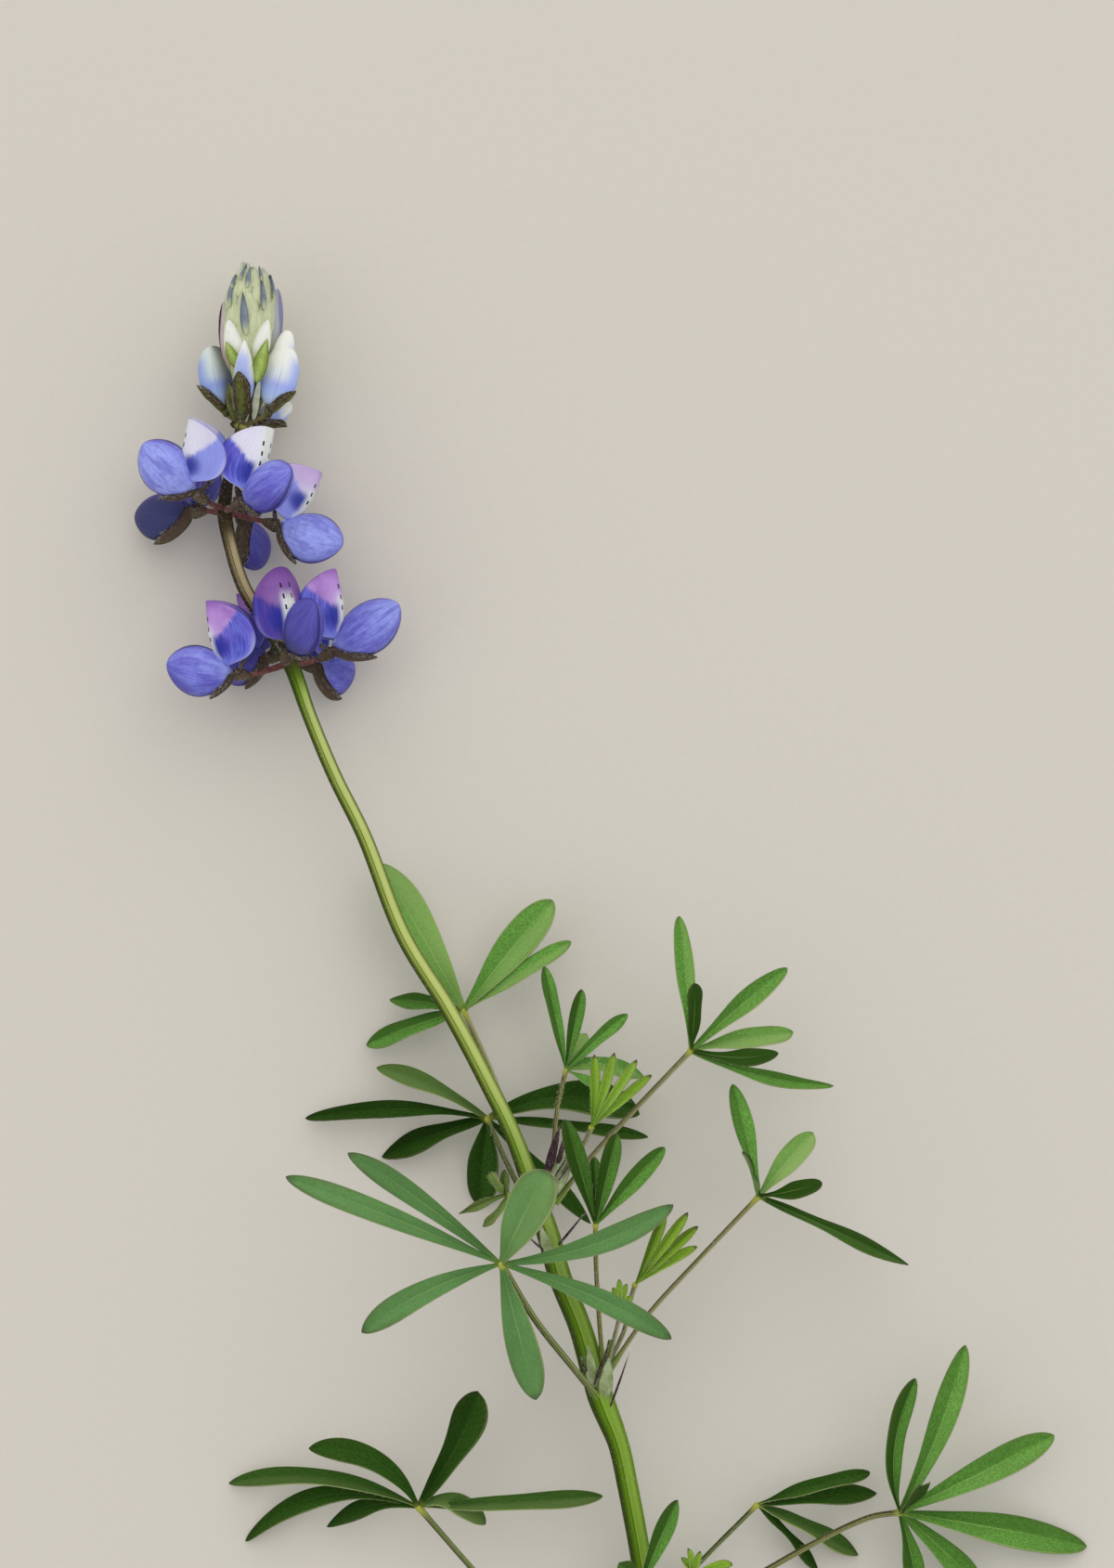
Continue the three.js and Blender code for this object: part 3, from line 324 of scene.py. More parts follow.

# Open flowers: name, mouth of the calyx, tip of the wings, top of the banner, place on the
# stem; then the lie of the banner's halves in degrees, the banner's share of full width, the
# tone, darker below 0 and paler above it, partly the flower's own colour and partly painted
# shade and light, the blush of the banner from white at 0 to pink at 1, the length of the
# calyx lip in millimetres, and how much paler the wings are painted at their upper edge and
# at their outer end, as painted light
FLOWERS = [
    ("upper_1", (210, 530, 15.6), (152, 482, 17.6), (207, 453, 18), (242, 548, 11),
     26, 0.94, 1.1, 0.0, 4.4, -0.1, 0.1),
    ("upper_2", (262, 540, 17.5), (314, 510, 23.5), (288, 462, 18), (243, 549, 11),
     40, 0.82, 0.08, 0.2, 3.6, 0.6, 0.6),
    ("upper_3", (300, 567, 11.5), (367, 590, 13.5), (343, 508, 11), (243, 552, 11),
     30, 1, 1.1, 0.5, 5.6, 0.5, -0.2),
    ("upper_4", (207, 552, 7.6), (146, 560, 3.8), (214, 484, 3.6), (242, 554, 11),
     18, 0.68, -0.95, 0.0, 7.0, 0.0, 0.0),
    ("upper_5", (262, 562, 7.6), (281, 611, 2.9), (284, 528, 1.3), (244, 556, 11),
     25, 0.55, -0.5, 0.5, 6.0, 0.0, 0.0),
    ("lower_1", (252, 726, 13.2), (180, 719, 14.2), (226, 648, 15), (312, 714, 11),
     30, 1, 0.25, 1.0, 4.2, 0.6, -0.45),
    ("lower_2", (312, 702, 18), (341, 653, 25), (300, 613, 18), (312, 712, 11),
     55, 0.68, -0.8, 1.0, 3.4, 0.0, 0.45),
    ("lower_3", (358, 701, 11.8), (431, 655, 12.4), (358, 615, 10.6), (315, 716, 11),
     20, 0.86, 0.3, 1.0, 6.2, 0.1, 1.1),
    ("lower_4", (338, 718, 6.6), (381, 727, 3), (350, 652, 3), (315, 718, 11),
     20, 0.64, 0.0, 1.0, 6.0, 0.3, -0.6),
    ("lower_5", (289, 708, 6.6), (232, 714, 3), (260, 640, 3.4), (314, 717, 11),
     18, 0.64, -0.7, 1.0, 5.0, 0.0, 0.0),
]

# Closed buds: name, foot and tip of the petals, tip of the calyx lip, height and thickness
# in millimetres, how pointed the end is, the tip of a white crest above the petals where
# one shows, and how much painted shade lies on the bud, most on the side towards the spike
BUDS = [
    ("bud_left", (242, 437, 10.8), (227, 373, 11.2), (212.5, 415, 11.5), 5.8, 3.2, 0.42, None, 0.9),
    ("bud_right", (291, 438, 12.4), (310, 373, 13), (318, 421, 13.4), 6.2, 3.2, 0.42,
     (311, 356, 12.6), 0.0),
    ("bud_front", (262, 440, 13.6), (263.5, 366, 16.4), (257, 400, 18), 3.2, 3.2, 0.75, None, 0.0),
    ("bud_right_low", (280, 452, 8.6), (314, 436, 4.6), (309, 459, 5.4), 3.8, 3, 0.5, None, 0.2),
    ("bud_back", (258, 440, 7.2), (252, 376, 3.6), (246, 404, 2.2), 3.2, 3.4, 0.5, None, 0.5),
]
BUD_NODE = (261, 456, 10.5)

# The tip of the spike: foot and tip of its core, and radii along it in millimetres
CONE_FOOT = (262, 446, 10.5)
CONE_TIP = (273, 288, 10.4)
CONE_RADII = (1.2, 2.0, 2.8, 3.6, 3.35, 1.7)
SCALE_COUNT = 36
# Slim closed petals that show between the scales, all at one height on the drawing sheet:
# foot, tip, width in millimetres
SLIVER_HEIGHT = 12
SLIVERS = [
    ((267.5, 312), (270, 289), 0.75),
    ((284.5, 336), (282, 302), 1.0),
    ((266.5, 364), (263, 317), 1.25),
    ((248.5, 332), (252, 303), 0.9),
    ((294, 322), (290, 296), 0.6),
    ((260, 303), (266, 287), 0.45),
    ((281.5, 304), (279, 288), 0.45),
    ((251, 311), (255, 297), 0.4),
]

# Small side buds on the tip: foot, tip, width in millimetres, colouring
SIDE_BUDS = [
    ((250, 402, 11.6), (240.5, 326, 11.4), 2.7, "left"),
    ((285, 396, 11.2), (299, 311, 11.0), 3.5, "right"),
    ((257, 398, 13.6), (246, 344, 14.2), 2.9, "white"),
    ((275, 398, 13.8), (289, 344, 14.0), 2.6, "white"),
]

# Strands that fill the foot of the cluster: foot, tip, width in millimetres, colouring; the
# dark ones, in the core's colour, are partly the brown bud cups there and partly painted shade
STRANDS = [
    ((273, 453, 12.2), (280, 404, 14.2), 1.1, "pale"),
    ((265, 455, 12.4), (268, 424, 14.0), 0.7, "pale"),
    ((255, 452, 11.8), (246, 412, 12.6), 2.0, "dark"),
    ((268, 452, 11.2), (284, 420, 12.6), 2.0, "dark"),
    ((262, 454, 11.4), (256, 412, 12.4), 2.2, "dark"),
    ((266, 454, 10.8), (272, 412, 12.2), 2.4, "dark"),
]

# Small lips of the side buds: foot, tip, width in millimetres
SIDE_LIPS = [
    ((256, 396, 14.4), (243.5, 368, 15.3), 1.7),
    ((276, 412, 14.6), (288, 365, 15.4), 2.2),
]

# Further colours of the finishes, as screen colours in six digits
HUES = dict(
    leaf_underside="B4C29C", leaf_rim="C2C98A", leaf_flush="5A3A33", leaf_point="3E2630",
    stalk_side="BDBA7A", stalk_light="C6CE88", stem_cut="CFDCA8", stem_shadow="2E3E04",
    whorl_olive="43411F", axis_brown="4A3C28", axis_dark="2C2216", axis_grey="4A4138",
    axis_olive="66663C", axis_tip="A3A157", axis_highlight="C0AE88", axis_shadow="2E2212",
    sheath="6E7F3C", sheath_light="B9C79A", stipule_light="4C3438",
    banner_violet="7A5CC8", banner_streak="CFCBE0", banner_midline="E2EAD6",
    banner_edge="5A3C90", young_banner_top="DDD2EC", keel_light="D8DAF2",
    calyx_heart="5E5240", pedicel_light="8A7A50",
    bud_violet="A4A8EE", bud_flank="8496EA", bud_calyx="4C3E26", bud_calyx_heart="666E34",
    bud_stalk="6A5A3E", bud_stalk_light="8C8A4E",
    scale_root="A9BE5E", scale_rim="8C9A76", scale_point="8C9C9C", sliver_point="39424A",
    tip_core="4A4428", tip_core_light="7C8246", strand="A8B090", strand_light="D8DCC8",
    side_bud_foot="C6D08C", left_bud_foot="B4A08E", left_bud="C2B6B4", left_bud_edge="2E1A24",
    right_bud_foot="A4AC86", right_bud="AEB0B4", right_bud_edge="8482A6",
    side_lip_edge="84993E", side_lip_heart="A9C068",
)

# Colour of a leaf's stalk, by the leaf's kind or by its own name; the shade kind's darker stalk
# is painted shade
STALK_COLOURS = {
    "leaf": "B8B088", "shade": "587432", "near": "869658", "young": "B4B28A", "wilted": "7C7F48",
    "leaf_axil_upper": "96904A", "leaf_axil_lower": "88843C", "leaf_low_right": "7C8050",
}


def srgb(code):
    """Scene linear red, green and blue of a screen colour written as six digits."""
    parts = np.array([int(code[i:i + 2], 16) for i in (0, 2, 4)]) / 255
    linear = np.where(parts <= 0.04045, parts / 12.92, ((parts + 0.055) / 1.055) ** 2.4)
    return tuple(float(value) for value in linear)


def colour_property(name, description, code):
    """A colour that a user may change, from a screen colour in six digits."""
    return FloatVectorProperty(name=name, description=description, default=srgb(code), size=3,
                               min=0, max=1, subtype="COLOR")


def length_property(name, description, millimetres):
    """A length that a user may change."""
    return FloatProperty(name=name, description=description, default=millimetres * MM, min=0,
                         unit="LENGTH", subtype="DISTANCE", precision=5)


class LupinSizes(bpy.types.PropertyGroup):
    """Sizes of the sprig that a user may change."""

    blade: length_property("Blade", "Thickness of a leaflet beside its midrib", 0.3)
    petal: length_property("Petal", "Thickness of a petal", 0.16)
    lip: length_property("Calyx lip", "Thickness of a calyx lip", 0.3)
    hair: length_property("Hair", "Radius of a hair at its root", 0.013)
    stem_hair: length_property("Stem hair", "Length of a hair on the stem", 0.55)
    leaf_hair: length_property("Leaf hair", "Length of a hair on a leaf", 0.5)
    silk: length_property("Silk", "Length of a hair on a calyx or a young bud", 0.75)
    fold: FloatProperty(name="Fold", description="Rise of a leaflet's halves from flat",
                        default=np.radians(30), subtype="ANGLE")
    young_fold: FloatProperty(name="Young fold", description="Rise of a young leaflet's halves",
                              default=np.radians(56), subtype="ANGLE")
    stem_hairs: IntProperty(name="Stem hairs", description="Number of hairs on the stem",
                            default=2800, min=0)


class LupinColours(bpy.types.PropertyGroup):
    """Colours of the sprig and its table that a user may change."""

    leaf: colour_property("Leaf", "Upper side of a leaf in full light", "5F943B")
    # Painted shade: the shaded leaves are a darker copy of the green, for the leaves low down and
    # behind
    shade: colour_property("Shaded leaf", "Upper side of a leaf from the shade", "2F5217")
    near: colour_property("Front leaf", "Upper side of the blue-green front leaf", "5F8C4E")
    young: colour_property("Young leaf", "Side of a leaf that is still folded", "90B83A")
    wilted: colour_property("Wilted leaf", "Leaf that has curled up", "6A7E40")
    rib: colour_property("Midrib", "Rib along a leaflet", "A2BE72")
    hub: colour_property("Hub", "Knuckle where leaflets meet", "A8AC4A")
    stem_low: colour_property("Lower stem", "Stem among the leaves", "6E9A12")
    stem_high: colour_property("Flower stalk", "Bare stem under the spike", "AEBE58")
    stem_spike: colour_property("Spike axis", "Stem among the flowers", "A08E6C")
    wing: colour_property("Wing", "Outer side of the wings", "6F6EE0")
    claw: colour_property("Claw", "Pale root of the wings", "AAB6FA")
    banner_blue: colour_property("Banner blue", "Lower outer part of a banner", "4E50D0")
    banner_spot: colour_property("Banner spot", "Deep spot at the root of a banner", "232A92")
    banner_white: colour_property("Banner white", "Middle of a young banner", "E2E2EE")
    banner_pink: colour_property("Banner pink", "Middle of an older banner", "BC90D6")
    calyx: colour_property("Calyx", "Cup and lips behind the petals", "4E4036")
    pedicel: colour_property("Pedicel", "Stalklet of a flower", "743A42")
    bud_white: colour_property("Bud tip", "Pale part of a closed bud", "EDEFE6")
    bud_blue: colour_property("Bud blue", "Blue part of a closed bud", "AEC6F4")
    scale: colour_property("Scale", "Silky scales of the tip", "D8E0AC")
    sliver: colour_property("Sliver", "Closed petals between the scales", "5E7590")
    hair: colour_property("Hair", "Silver hairs", "E6E6DC")
    dark: colour_property("Stipule", "Thread-like stipules", "3A2630")
    table: colour_property("Table", "Plain surface under the sprig", "D3CEC3")


def sizes():
    """The sizes as they are set in the scene."""
    return bpy.context.scene.lupin_sizes


def colours():
    """The colours as they are set in the scene."""
    return bpy.context.scene.lupin_colours


def hue(name):
    """Scene linear colour of one of the further colours."""
    return srgb(HUES[name])


def scaled(colour, share):
    """The colour times a share, or times one share for each of its three parts."""
    shares = np.broadcast_to(share, 3).tolist()
    return tuple(value * part for value, part in zip(tuple(colour)[:3], shares))


def blended(first, second, share):
    """The first colour at share 0, the second at share 1."""
    return tuple(a * (1 - share) + b * share for a, b in zip(tuple(first)[:3], tuple(second)[:3]))


def spot(places):
    """Places on the drawing sheet as points in space: a step shrinks with the distance from
    the eye, and is full size at the stem's height."""
    places = np.asarray(places, float)
    height = places[..., 2] * MM
    nearness = (EYE - height) / (EYE - TRUE_HEIGHT)
    x = (places[..., 0] - SHEET_MIDDLE[0]) * STEP * nearness - BOX_MIDDLE[0]
    y = (SHEET_MIDDLE[1] - places[..., 1]) * STEP * nearness - BOX_MIDDLE[1]
    return np.stack([x, y, height], axis=-1)


def unit(vectors):
    """Vectors of length one, along the last axis."""
    return vectors / np.maximum(np.linalg.norm(vectors, axis=-1, keepdims=True), 1e-12)


def smooth(values, low, high):
    """0 below low, 1 above high and an even S between."""
    share = np.clip((values - low) / (high - low), 0, 1)
    return share * share * (3 - 2 * share)


def larger(first, second, ease):
    """The larger of two values, with the corner between them rounded over the ease."""
    return (first + second + np.sqrt((first - second) ** 2 + ease ** 2)) / 2


def curve_through(points, places):
    """Points on the centripetal Catmull-Rom curve through some points: between two of them a
    cubic whose slopes come from the roots of the distances to the neighbours."""
    points = np.asarray(points, float)
    full = np.vstack([2 * points[0] - points[1], points, 2 * points[-1] - points[-2]])
    spans = len(points) - 1
    at = np.clip(places, 0, 1) * spans
    low = np.minimum(at.astype(int), spans - 1)
    t = (at - low)[:, None]
    p0, p1, p2, p3 = (full[low + i] for i in range(4))
    d0, d1, d2 = (np.sqrt(np.linalg.norm(b - a, axis=1, keepdims=True))
                  for a, b in ((p0, p1), (p1, p2), (p2, p3)))
    m1 = ((p1 - p0) / d0 - (p2 - p0) / (d0 + d1) + (p2 - p1) / d1) * d1
    m2 = ((p2 - p1) / d1 - (p3 - p1) / (d1 + d2) + (p3 - p2) / d2) * d1
    return p1 + m1 * t + (3 * (p2 - p1) - 2 * m1 - m2) * t ** 2 + (2 * (p1 - p2) + m1 + m2) * t ** 3


def loft_faces(rows, columns):
    """Quads of a closed tube of rings, and the triangles that close its two ends at poles."""
    row, column = np.mgrid[0:rows - 1, 0:columns]
    a = row * columns + column
    b = row * columns + (column + 1) % columns
    quads = np.stack([a, b, b + columns, a + columns], axis=-1).reshape(-1, 4)
    here = np.arange(columns)
    after = (here + 1) % columns
    last = (rows - 1) * columns
    pole = rows * columns
    start = np.stack([np.full(columns, pole), after, here], axis=-1)
    end = np.stack([np.full(columns, pole + 1), last + here, last + after], axis=-1)
    return quads, np.concatenate([start, end])


class Shape:
    """Points, faces, painted values and materials of one piece, gathered from closed lofts.
    Each point carries place (across, along, rim) and tint (under, tone, extra)."""

    def __init__(self, name, seed):
        """An empty piece with random draws of its own."""
        self.name = name
        self.random = np.random.default_rng(seed)
        self.points = []
        self.paint = []
        self.quads = []
        self.triangles = []
        self.quad_slots = []
        self.triangle_slots = []
        self.materials = []
        self.count = 0

    def slot_of(self, material):
        """Place of a material in the piece's list, to which it is added if it is new."""
        if material not in self.materials:
            self.materials.append(material)
        return self.materials.index(material)

    def add(self, rings, paint, material):
        """Adds closed lofts. rings has the axes loft, row, column, xyz. A loft whose signed
        volume is negative is turned, so that its faces point out."""
        rings = rings.reshape(-1, *rings.shape[-3:])
        lofts, rows, columns = rings.shape[:3]
        paint = np.broadcast_to(paint, (lofts, rows, columns, 6))
        points = np.concatenate([rings.reshape(lofts, -1, 3), rings[:, [0, -1]].mean(axis=2)], axis=1)
        values = np.concatenate([paint.reshape(lofts, -1, 6), paint[:, [0, -1]].mean(axis=2)], axis=1)
        quads, triangles = loft_faces(rows, columns)
        halves = np.concatenate([quads[:, [0, 1, 2]], quads[:, [0, 2, 3]], triangles])
        a, b, c = (points[:, halves[:, i]] - points[:, :1] for i in range(3))
        volume = np.einsum("lfi,lfi->l", a, np.cross(b, c))
        first = self.count + np.arange(lofts)[:, None, None] * points.shape[1]
        turned = (volume < 0)[:, None, None]
        quads = np.where(turned, quads[None, :, ::-1], quads[None]) + first
        triangles = np.where(turned, triangles[None, :, ::-1], triangles[None]) + first
        slot = self.slot_of(material)
        self.points.append(points.reshape(-1, 3))
        self.paint.append(values.reshape(-1, 6))
        self.quads.append(quads.reshape(-1, 4))
        self.triangles.append(triangles.reshape(-1, 3))
        self.quad_slots.append(np.full(quads.shape[0] * quads.shape[1], slot))
        self.triangle_slots.append(np.full(triangles.shape[0] * triangles.shape[1], slot))
        self.count += lofts * points.shape[1]
        return np.where(volume < 0, -1.0, 1.0)

    def add_hairs(self, roots, ways, lengths, lean):
        """Adds one thin curved cone for each root: a three-sided bar in three rings along its
        way, bent over towards lean as the square of the distance from its root."""
        if not len(roots):
            return
        along = unit(ways)
        side = unit(np.cross(along, UP + 0.3 * along[:, [1, 2, 0]]))
        gone = np.array(HAIR_PLACES)[None, :, None]
        middle = (roots[:, None] + along[:, None] * lengths[:, None, None] * gone
                  + lean[:, None] * lengths[:, None, None] * np.clip(gone, 0, 1) ** 2)
        radius = sizes().hair * np.array(HAIR_TAPER)
        rings = middle[:, :, None] + (wheel(side, np.cross(side, along), HAIR_SIDES)[:, None]
                                      * radius[None, :, None, None])
        self.add(rings, np.zeros(6), material("silver_hair", hair_finish))

    def bristle(self, rings, sign, count, rows, length, mess=0.35, columns=(0.0, 1.0), lift=0.7):
        """Hairs at random places of a loft's wall. Each goes one part along the wall to its far
        end, the lift out of it, and a random part of about the mess aside."""
        roots, out, way = scatter(rings, sign, self.random, count, rows, columns)
        ways = lift * out + way + mess * self.random.normal(size=(count, 3))
        self.add_hairs(roots, ways, length * self.random.uniform(0.55, 1.15, count), -0.2 * out)

    def add_hairy(self, rings, paint, skin, *hairs, **hair_ways):
        """Adds a loft with hairs on its wall."""
        sign = self.add(rings, paint, skin)[0]
        self.bristle(rings, sign, *hairs, **hair_ways)

    def finish(self, slot, node):
        """Makes the mesh object, lets it ride on the root body and stand for its node."""
        quads = np.concatenate(self.quads)
        triangles = np.concatenate(self.triangles)
        corners = np.concatenate([quads.ravel(), triangles.ravel()]).astype(np.int32)
        sides = np.repeat([4, 3], [len(quads), len(triangles)])
        points = np.concatenate(self.points)
        paint = np.concatenate(self.paint)
        mesh = bpy.data.meshes.new(self.name)
        mesh.vertices.add(len(points))
        mesh.vertices.foreach_set("co", points.ravel().astype(np.float32))
        mesh.loops.add(len(corners))
        mesh.loops.foreach_set("vertex_index", corners)
        mesh.polygons.add(len(sides))
        mesh.polygons.foreach_set("loop_start", (np.cumsum(sides) - sides).astype(np.int32))
        mesh.update(calc_edges=True)
        mesh.polygons.foreach_set("use_smooth", np.ones(len(sides), bool))
        for label, columns in (("place", slice(0, 3)), ("tint", slice(3, 6))):
            attribute = mesh.attributes.new(label, "FLOAT_VECTOR", "POINT")
            attribute.data.foreach_set("vector", paint[:, columns].ravel().astype(np.float32))
        for skin in self.materials:
            mesh.materials.append(skin)
        slots = np.concatenate(self.quad_slots + self.triangle_slots).astype(np.int32)
        mesh.polygons.foreach_set("material_index", slots)
        if mesh.validate():
            raise RuntimeError(f"{self.name} has faulty faces")
        piece = bpy.data.objects.new(self.name, mesh)
        bpy.context.scene.collection.objects.link(piece)
        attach(piece, "root")
        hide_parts(node)


def painted(across, along, rim=0.0, under=0.0, tone=0.0, extra=0.0):
    """The six painted values of each point, broadcast to one grid."""
    parts = np.broadcast_arrays(across, along, rim, under, tone, extra)
    return np.stack(parts, axis=-1).astype(float)


def lengthwise(rings, along):
    """Painted values of a bar: across goes once round it from -1 to 1."""
    return painted(np.linspace(-1, 1, rings.shape[1]), np.reshape(along, (-1, 1)))


def frames(path):
    """Tangent, level side and upright of each point of a path."""
    tangent = unit(np.gradient(path, axis=0))
    side = unit(np.cross(tangent, UP))
    return tangent, side, np.cross(side, tangent)


def wheel(first, second, sides):
    """Ways round a circle in even steps: the cosine of the angle along the first way and its
    sine along the second."""
    angle = np.arange(sides) * 2 * np.pi / sides
    return np.cos(angle)[:, None] * first[..., None, :] + np.sin(angle)[:, None] * second[..., None, :]


def tube(path, radii, sides, ridges=0, depth=0.0):
    """Rings of a round bar: round each point of the path a circle across it, whose radius
    swells by a cosine for each ridge."""
    _, side, upright = frames(path)
    swell = 1 + depth * np.cos(ridges * np.arange(sides) * 2 * np.pi / sides)
    radii = np.broadcast_to(radii, len(path))[:, None] * swell
    return path[:, None] + wheel(upright, side, sides) * radii[..., None]


def rings_along(line, *moves):
    """Rings along a line. Each move is a way, the same for all rings or one for each, and how
    far the points of each ring go along it."""
    rings = line[:, None]
    for way, far in moves:
        rings = rings + np.atleast_2d(way)[:, None] * far[..., None]
    return rings


def scatter(rings, sign, random, count, rows, columns):
    """Random places on a loft's wall between some rows and columns, with the wall's outward
    direction and the direction along the rows there."""
    m, n = rings.shape[:2]
    r = random.uniform(*rows, count) * (m - 1)
    c = random.uniform(*columns, count) * n
    i = np.clip(r.astype(int), 0, m - 2)
    j = c.astype(int) % n
    k = (j + 1) % n
    s, t = (r - i)[:, None], (c - np.floor(c))[:, None]
    near = rings[i, j] * (1 - t) + rings[i, k] * t
    far = rings[i + 1, j] * (1 - t) + rings[i + 1, k] * t
    along = unit(far - near)
    around = rings[i, k] - rings[i, j]
    outward = unit(np.cross(around, far - near)) * sign
    return near * (1 - s) + far * s, outward, along


def spread(columns, power):
    """Places from -1 to 1: a signed power of even steps."""
    steps = np.linspace(-1, 1, columns)
    return np.sign(steps) * np.abs(steps) ** power


def eased(columns):
    """Places from -1 to 1 that crowd in the middle and at both ends, by a cosine."""
    steps = np.linspace(-1, 1, columns)
    return np.sign(steps) * (1 - np.cos(np.pi * np.abs(steps))) / 2


def band_of(top):
    """Places across a thin blade, from one edge over the top to the other and back below, and
    the face that each lies on: 1 above, 0 at an edge, -1 below."""
    columns = len(top)
    across = np.concatenate([top, top[-2:0:-1]])
    face = np.concatenate([np.ones(columns), -np.ones(columns - 2)])
    face[[0, columns - 1]] = 0
    return across, face


def thinning(across, least):
    """Thickness of a blade as a share: it falls from the middle to the least at both edges as
    a circle does."""
    return least + (1 - least) * np.sqrt(np.maximum(1 - across ** 2, 0))


def stations(places, rows):
    """Path and radii in even steps through a list of places and radii in millimetres."""
    steps = np.linspace(0, 1, rows)
    path = curve_through(spot([place for place, _ in places]), steps)
    return path, np.interp(steps, np.linspace(0, 1, len(places)), [radius for _, radius in places]) * MM


# Outline of a leaflet: its widest place, and the shares of its width that it keeps at its
# root and everywhere
LEAFLET_WIDEST = 0.66
LEAFLET_ROOT = 0.14
LEAFLET_LEAST = 0.05


def leaflet_outline(along):
    """Half width of a leaflet: a slow swelling to the widest place, then a rounded wedge that
    ends in a small point."""
    swelling = np.sin(np.clip(along / LEAFLET_WIDEST, 0, 1) * np.pi / 2) ** 1.15
    beyond = np.clip((along - LEAFLET_WIDEST) / (1 - LEAFLET_WIDEST), 0, 1)
    wedge = np.maximum(1 - beyond ** 2.3, 0) ** 0.6
    return np.maximum((LEAFLET_ROOT + (1 - LEAFLET_ROOT) * swelling) * wedge, LEAFLET_LEAST)


# How leaflets of each kind are made: how patchy their green is, their gloss, the strength of
# the midrib's colour, rows of points along them, columns over one face, swelling of the width,
# twist in degrees, wave in millimetres, how far the fold opens towards the tip, hairs on each
# edge of a 20 mm leaflet, hair length as a share, blush of the edges, and the painted light
# and shade of the halves: how much paler the half towards the light is painted, and the
# other half darker
LEAF_STYLES = {
    "leaf": dict(patchy=0.24, gloss=0.08, rib=0.4, rows=36, columns=15, swell=1.06, twist=14,
                 wave=0.22, opening=0.3, hairs=34, hair=0.7, blush=0.2, halves=0.35),
    "shade": dict(patchy=0.22, gloss=0.03, rib=0.05, rows=36, columns=15, swell=1.06, twist=18,
                  wave=0.3, opening=0.3, hairs=30, hair=0.75, blush=0.15, halves=0.2),
    "near": dict(patchy=0.1, gloss=0.1, rib=0.3, rows=36, columns=15, swell=1.04, twist=10,
                 wave=0.2, opening=0.4, hairs=26, hair=0.6, blush=0.4, halves=0.12),
    "young": dict(patchy=0.14, gloss=0.1, rib=0.5, rows=28, columns=13, swell=1.25, twist=10,
                  wave=0.03, opening=0.1, hairs=50, hair=1.1, blush=0.75, halves=0.3),
    "wilted": dict(patchy=0.16, gloss=0.05, rib=0.3, rows=26, columns=13, swell=1.1, twist=50,
                   wave=0.3, opening=-0.4, hairs=40, hair=1.0, blush=0.6, halves=0.3),
}
STYLED_LENGTH = 20 * MM


def add_leaflet(shape, hub, face, tip, width, arch, tone, fold, skin, style):
    """A leaflet along a quadratic curve from the hub over its arch place to its tip. Across
    it, the halves rise from the midrib by the fold; the blade thins from rib to edge; the rib
    stands out below and lies in a groove above; the edges wave by a slow sine."""
    random = shape.random
    middle = spot(arch) if arch else (hub + tip) / 2 + face * LEAFLET_ARCH
    control = 2 * middle - hub / 2 - tip / 2
    along = 1 - (1 - np.linspace(0.012, 1, style["rows"])) ** 1.25
    t = along[:, None]
    rib = hub * (1 - t) ** 2 + control * 2 * t * (1 - t) + tip * t ** 2
    tangent = unit(np.gradient(rib, axis=0))
    level = unit(np.cross(tangent, face))
    upright = unit(np.cross(level, tangent))
    twist = np.radians(random.uniform(-1, 1) * style["twist"]) * t
    flat = level * np.cos(twist) + upright * np.sin(twist)
    raised = upright * np.cos(twist) - level * np.sin(twist)
    across, side = band_of(eased(style["columns"]))
    half = (width * MM / 2 * leaflet_outline(along) * style["swell"])[:, None]
    slow = 2 * np.pi * (1.7 * t + 0.25 * np.sign(across)) + random.uniform(0, 6)
    wave = style["wave"] * MM * np.sin(slow) * across ** 2
    opened = fold * (1 - style["opening"] * smooth(t, 0.1, 0.9))
    rolled = -0.3 * half * across ** 4
    rise = half * np.sqrt(across ** 2 + 0.004) * np.sin(opened) + rolled + wave
    neck = smooth(t, 0.0, 0.14)
    body = (sizes().blade * neck + (1 - neck) * LEAFLET_NECK) * thinning(across, 0) ** 0.7 / 2
    ridge = np.exp(-(across / 0.1) ** 2) * (1 - 0.75 * t) * neck * MM
    lift = side * body + np.where(side > 0, -0.05, -0.16) * ridge
    rings = rings_along(rib, (flat, half * across * np.cos(opened)), (raised, rise + lift))
    # Painted light and shade: the half of the leaflet towards the lit side gets a paler tone and the
    # other half a darker one
    sunny = np.tanh(2 * float(level.mean(axis=0) @ PAINTED_LIGHT_SIDE))
    painted_half_tone = tone + style["halves"] * sunny * np.clip(across * 5, -1, 1)
    paint = painted(across, t, np.abs(across), (side < 0).astype(float), painted_half_tone, style["blush"])
    sign = shape.add(rings, paint, skin)[0]
    length = np.linalg.norm(np.diff(rib, axis=0), axis=1).sum()
    edge_way = (flat[len(flat) // 2], raised[len(flat) // 2])
    add_leaflet_hairs(shape, rings, sign, edge_way, int(style["hairs"] * length / STYLED_LENGTH), style)


def add_leaflet_hairs(shape, rings, sign, edge_way, count, style):
    """Hairs of a leaflet: out from both edges and forward, and flat against the underside."""
    random = shape.random
    longest = sizes().leaf_hair * style["hair"]
    last = style["columns"] - 1
    ring = 2 * last
    flat, raised = edge_way
    for column, outward in ((0, -1.0), (last, 1.0)):
        band = ((column - 0.6) / ring, (column + 0.6) / ring)
        roots, _, way = scatter(rings, sign, random, count, (0.05, 0.99), band)
        ways = unit(outward * flat + 0.35 * raised) + 0.9 * way + 0.35 * random.normal(size=(count, 3))
        shape.add_hairs(roots, ways, longest * random.uniform(0.6, 1.15, count), 0.3 * way)
    below = ((last + 2) / ring, (ring - 1) / ring)
    roots, out, way = scatter(rings, sign, random, 2 * count, (0.05, 0.97), below)
    ways = 0.5 * out + way + 0.3 * random.normal(size=(2 * count, 3))
    shape.add_hairs(roots, ways, longest * random.uniform(0.5, 1, 2 * count), -0.15 * out)


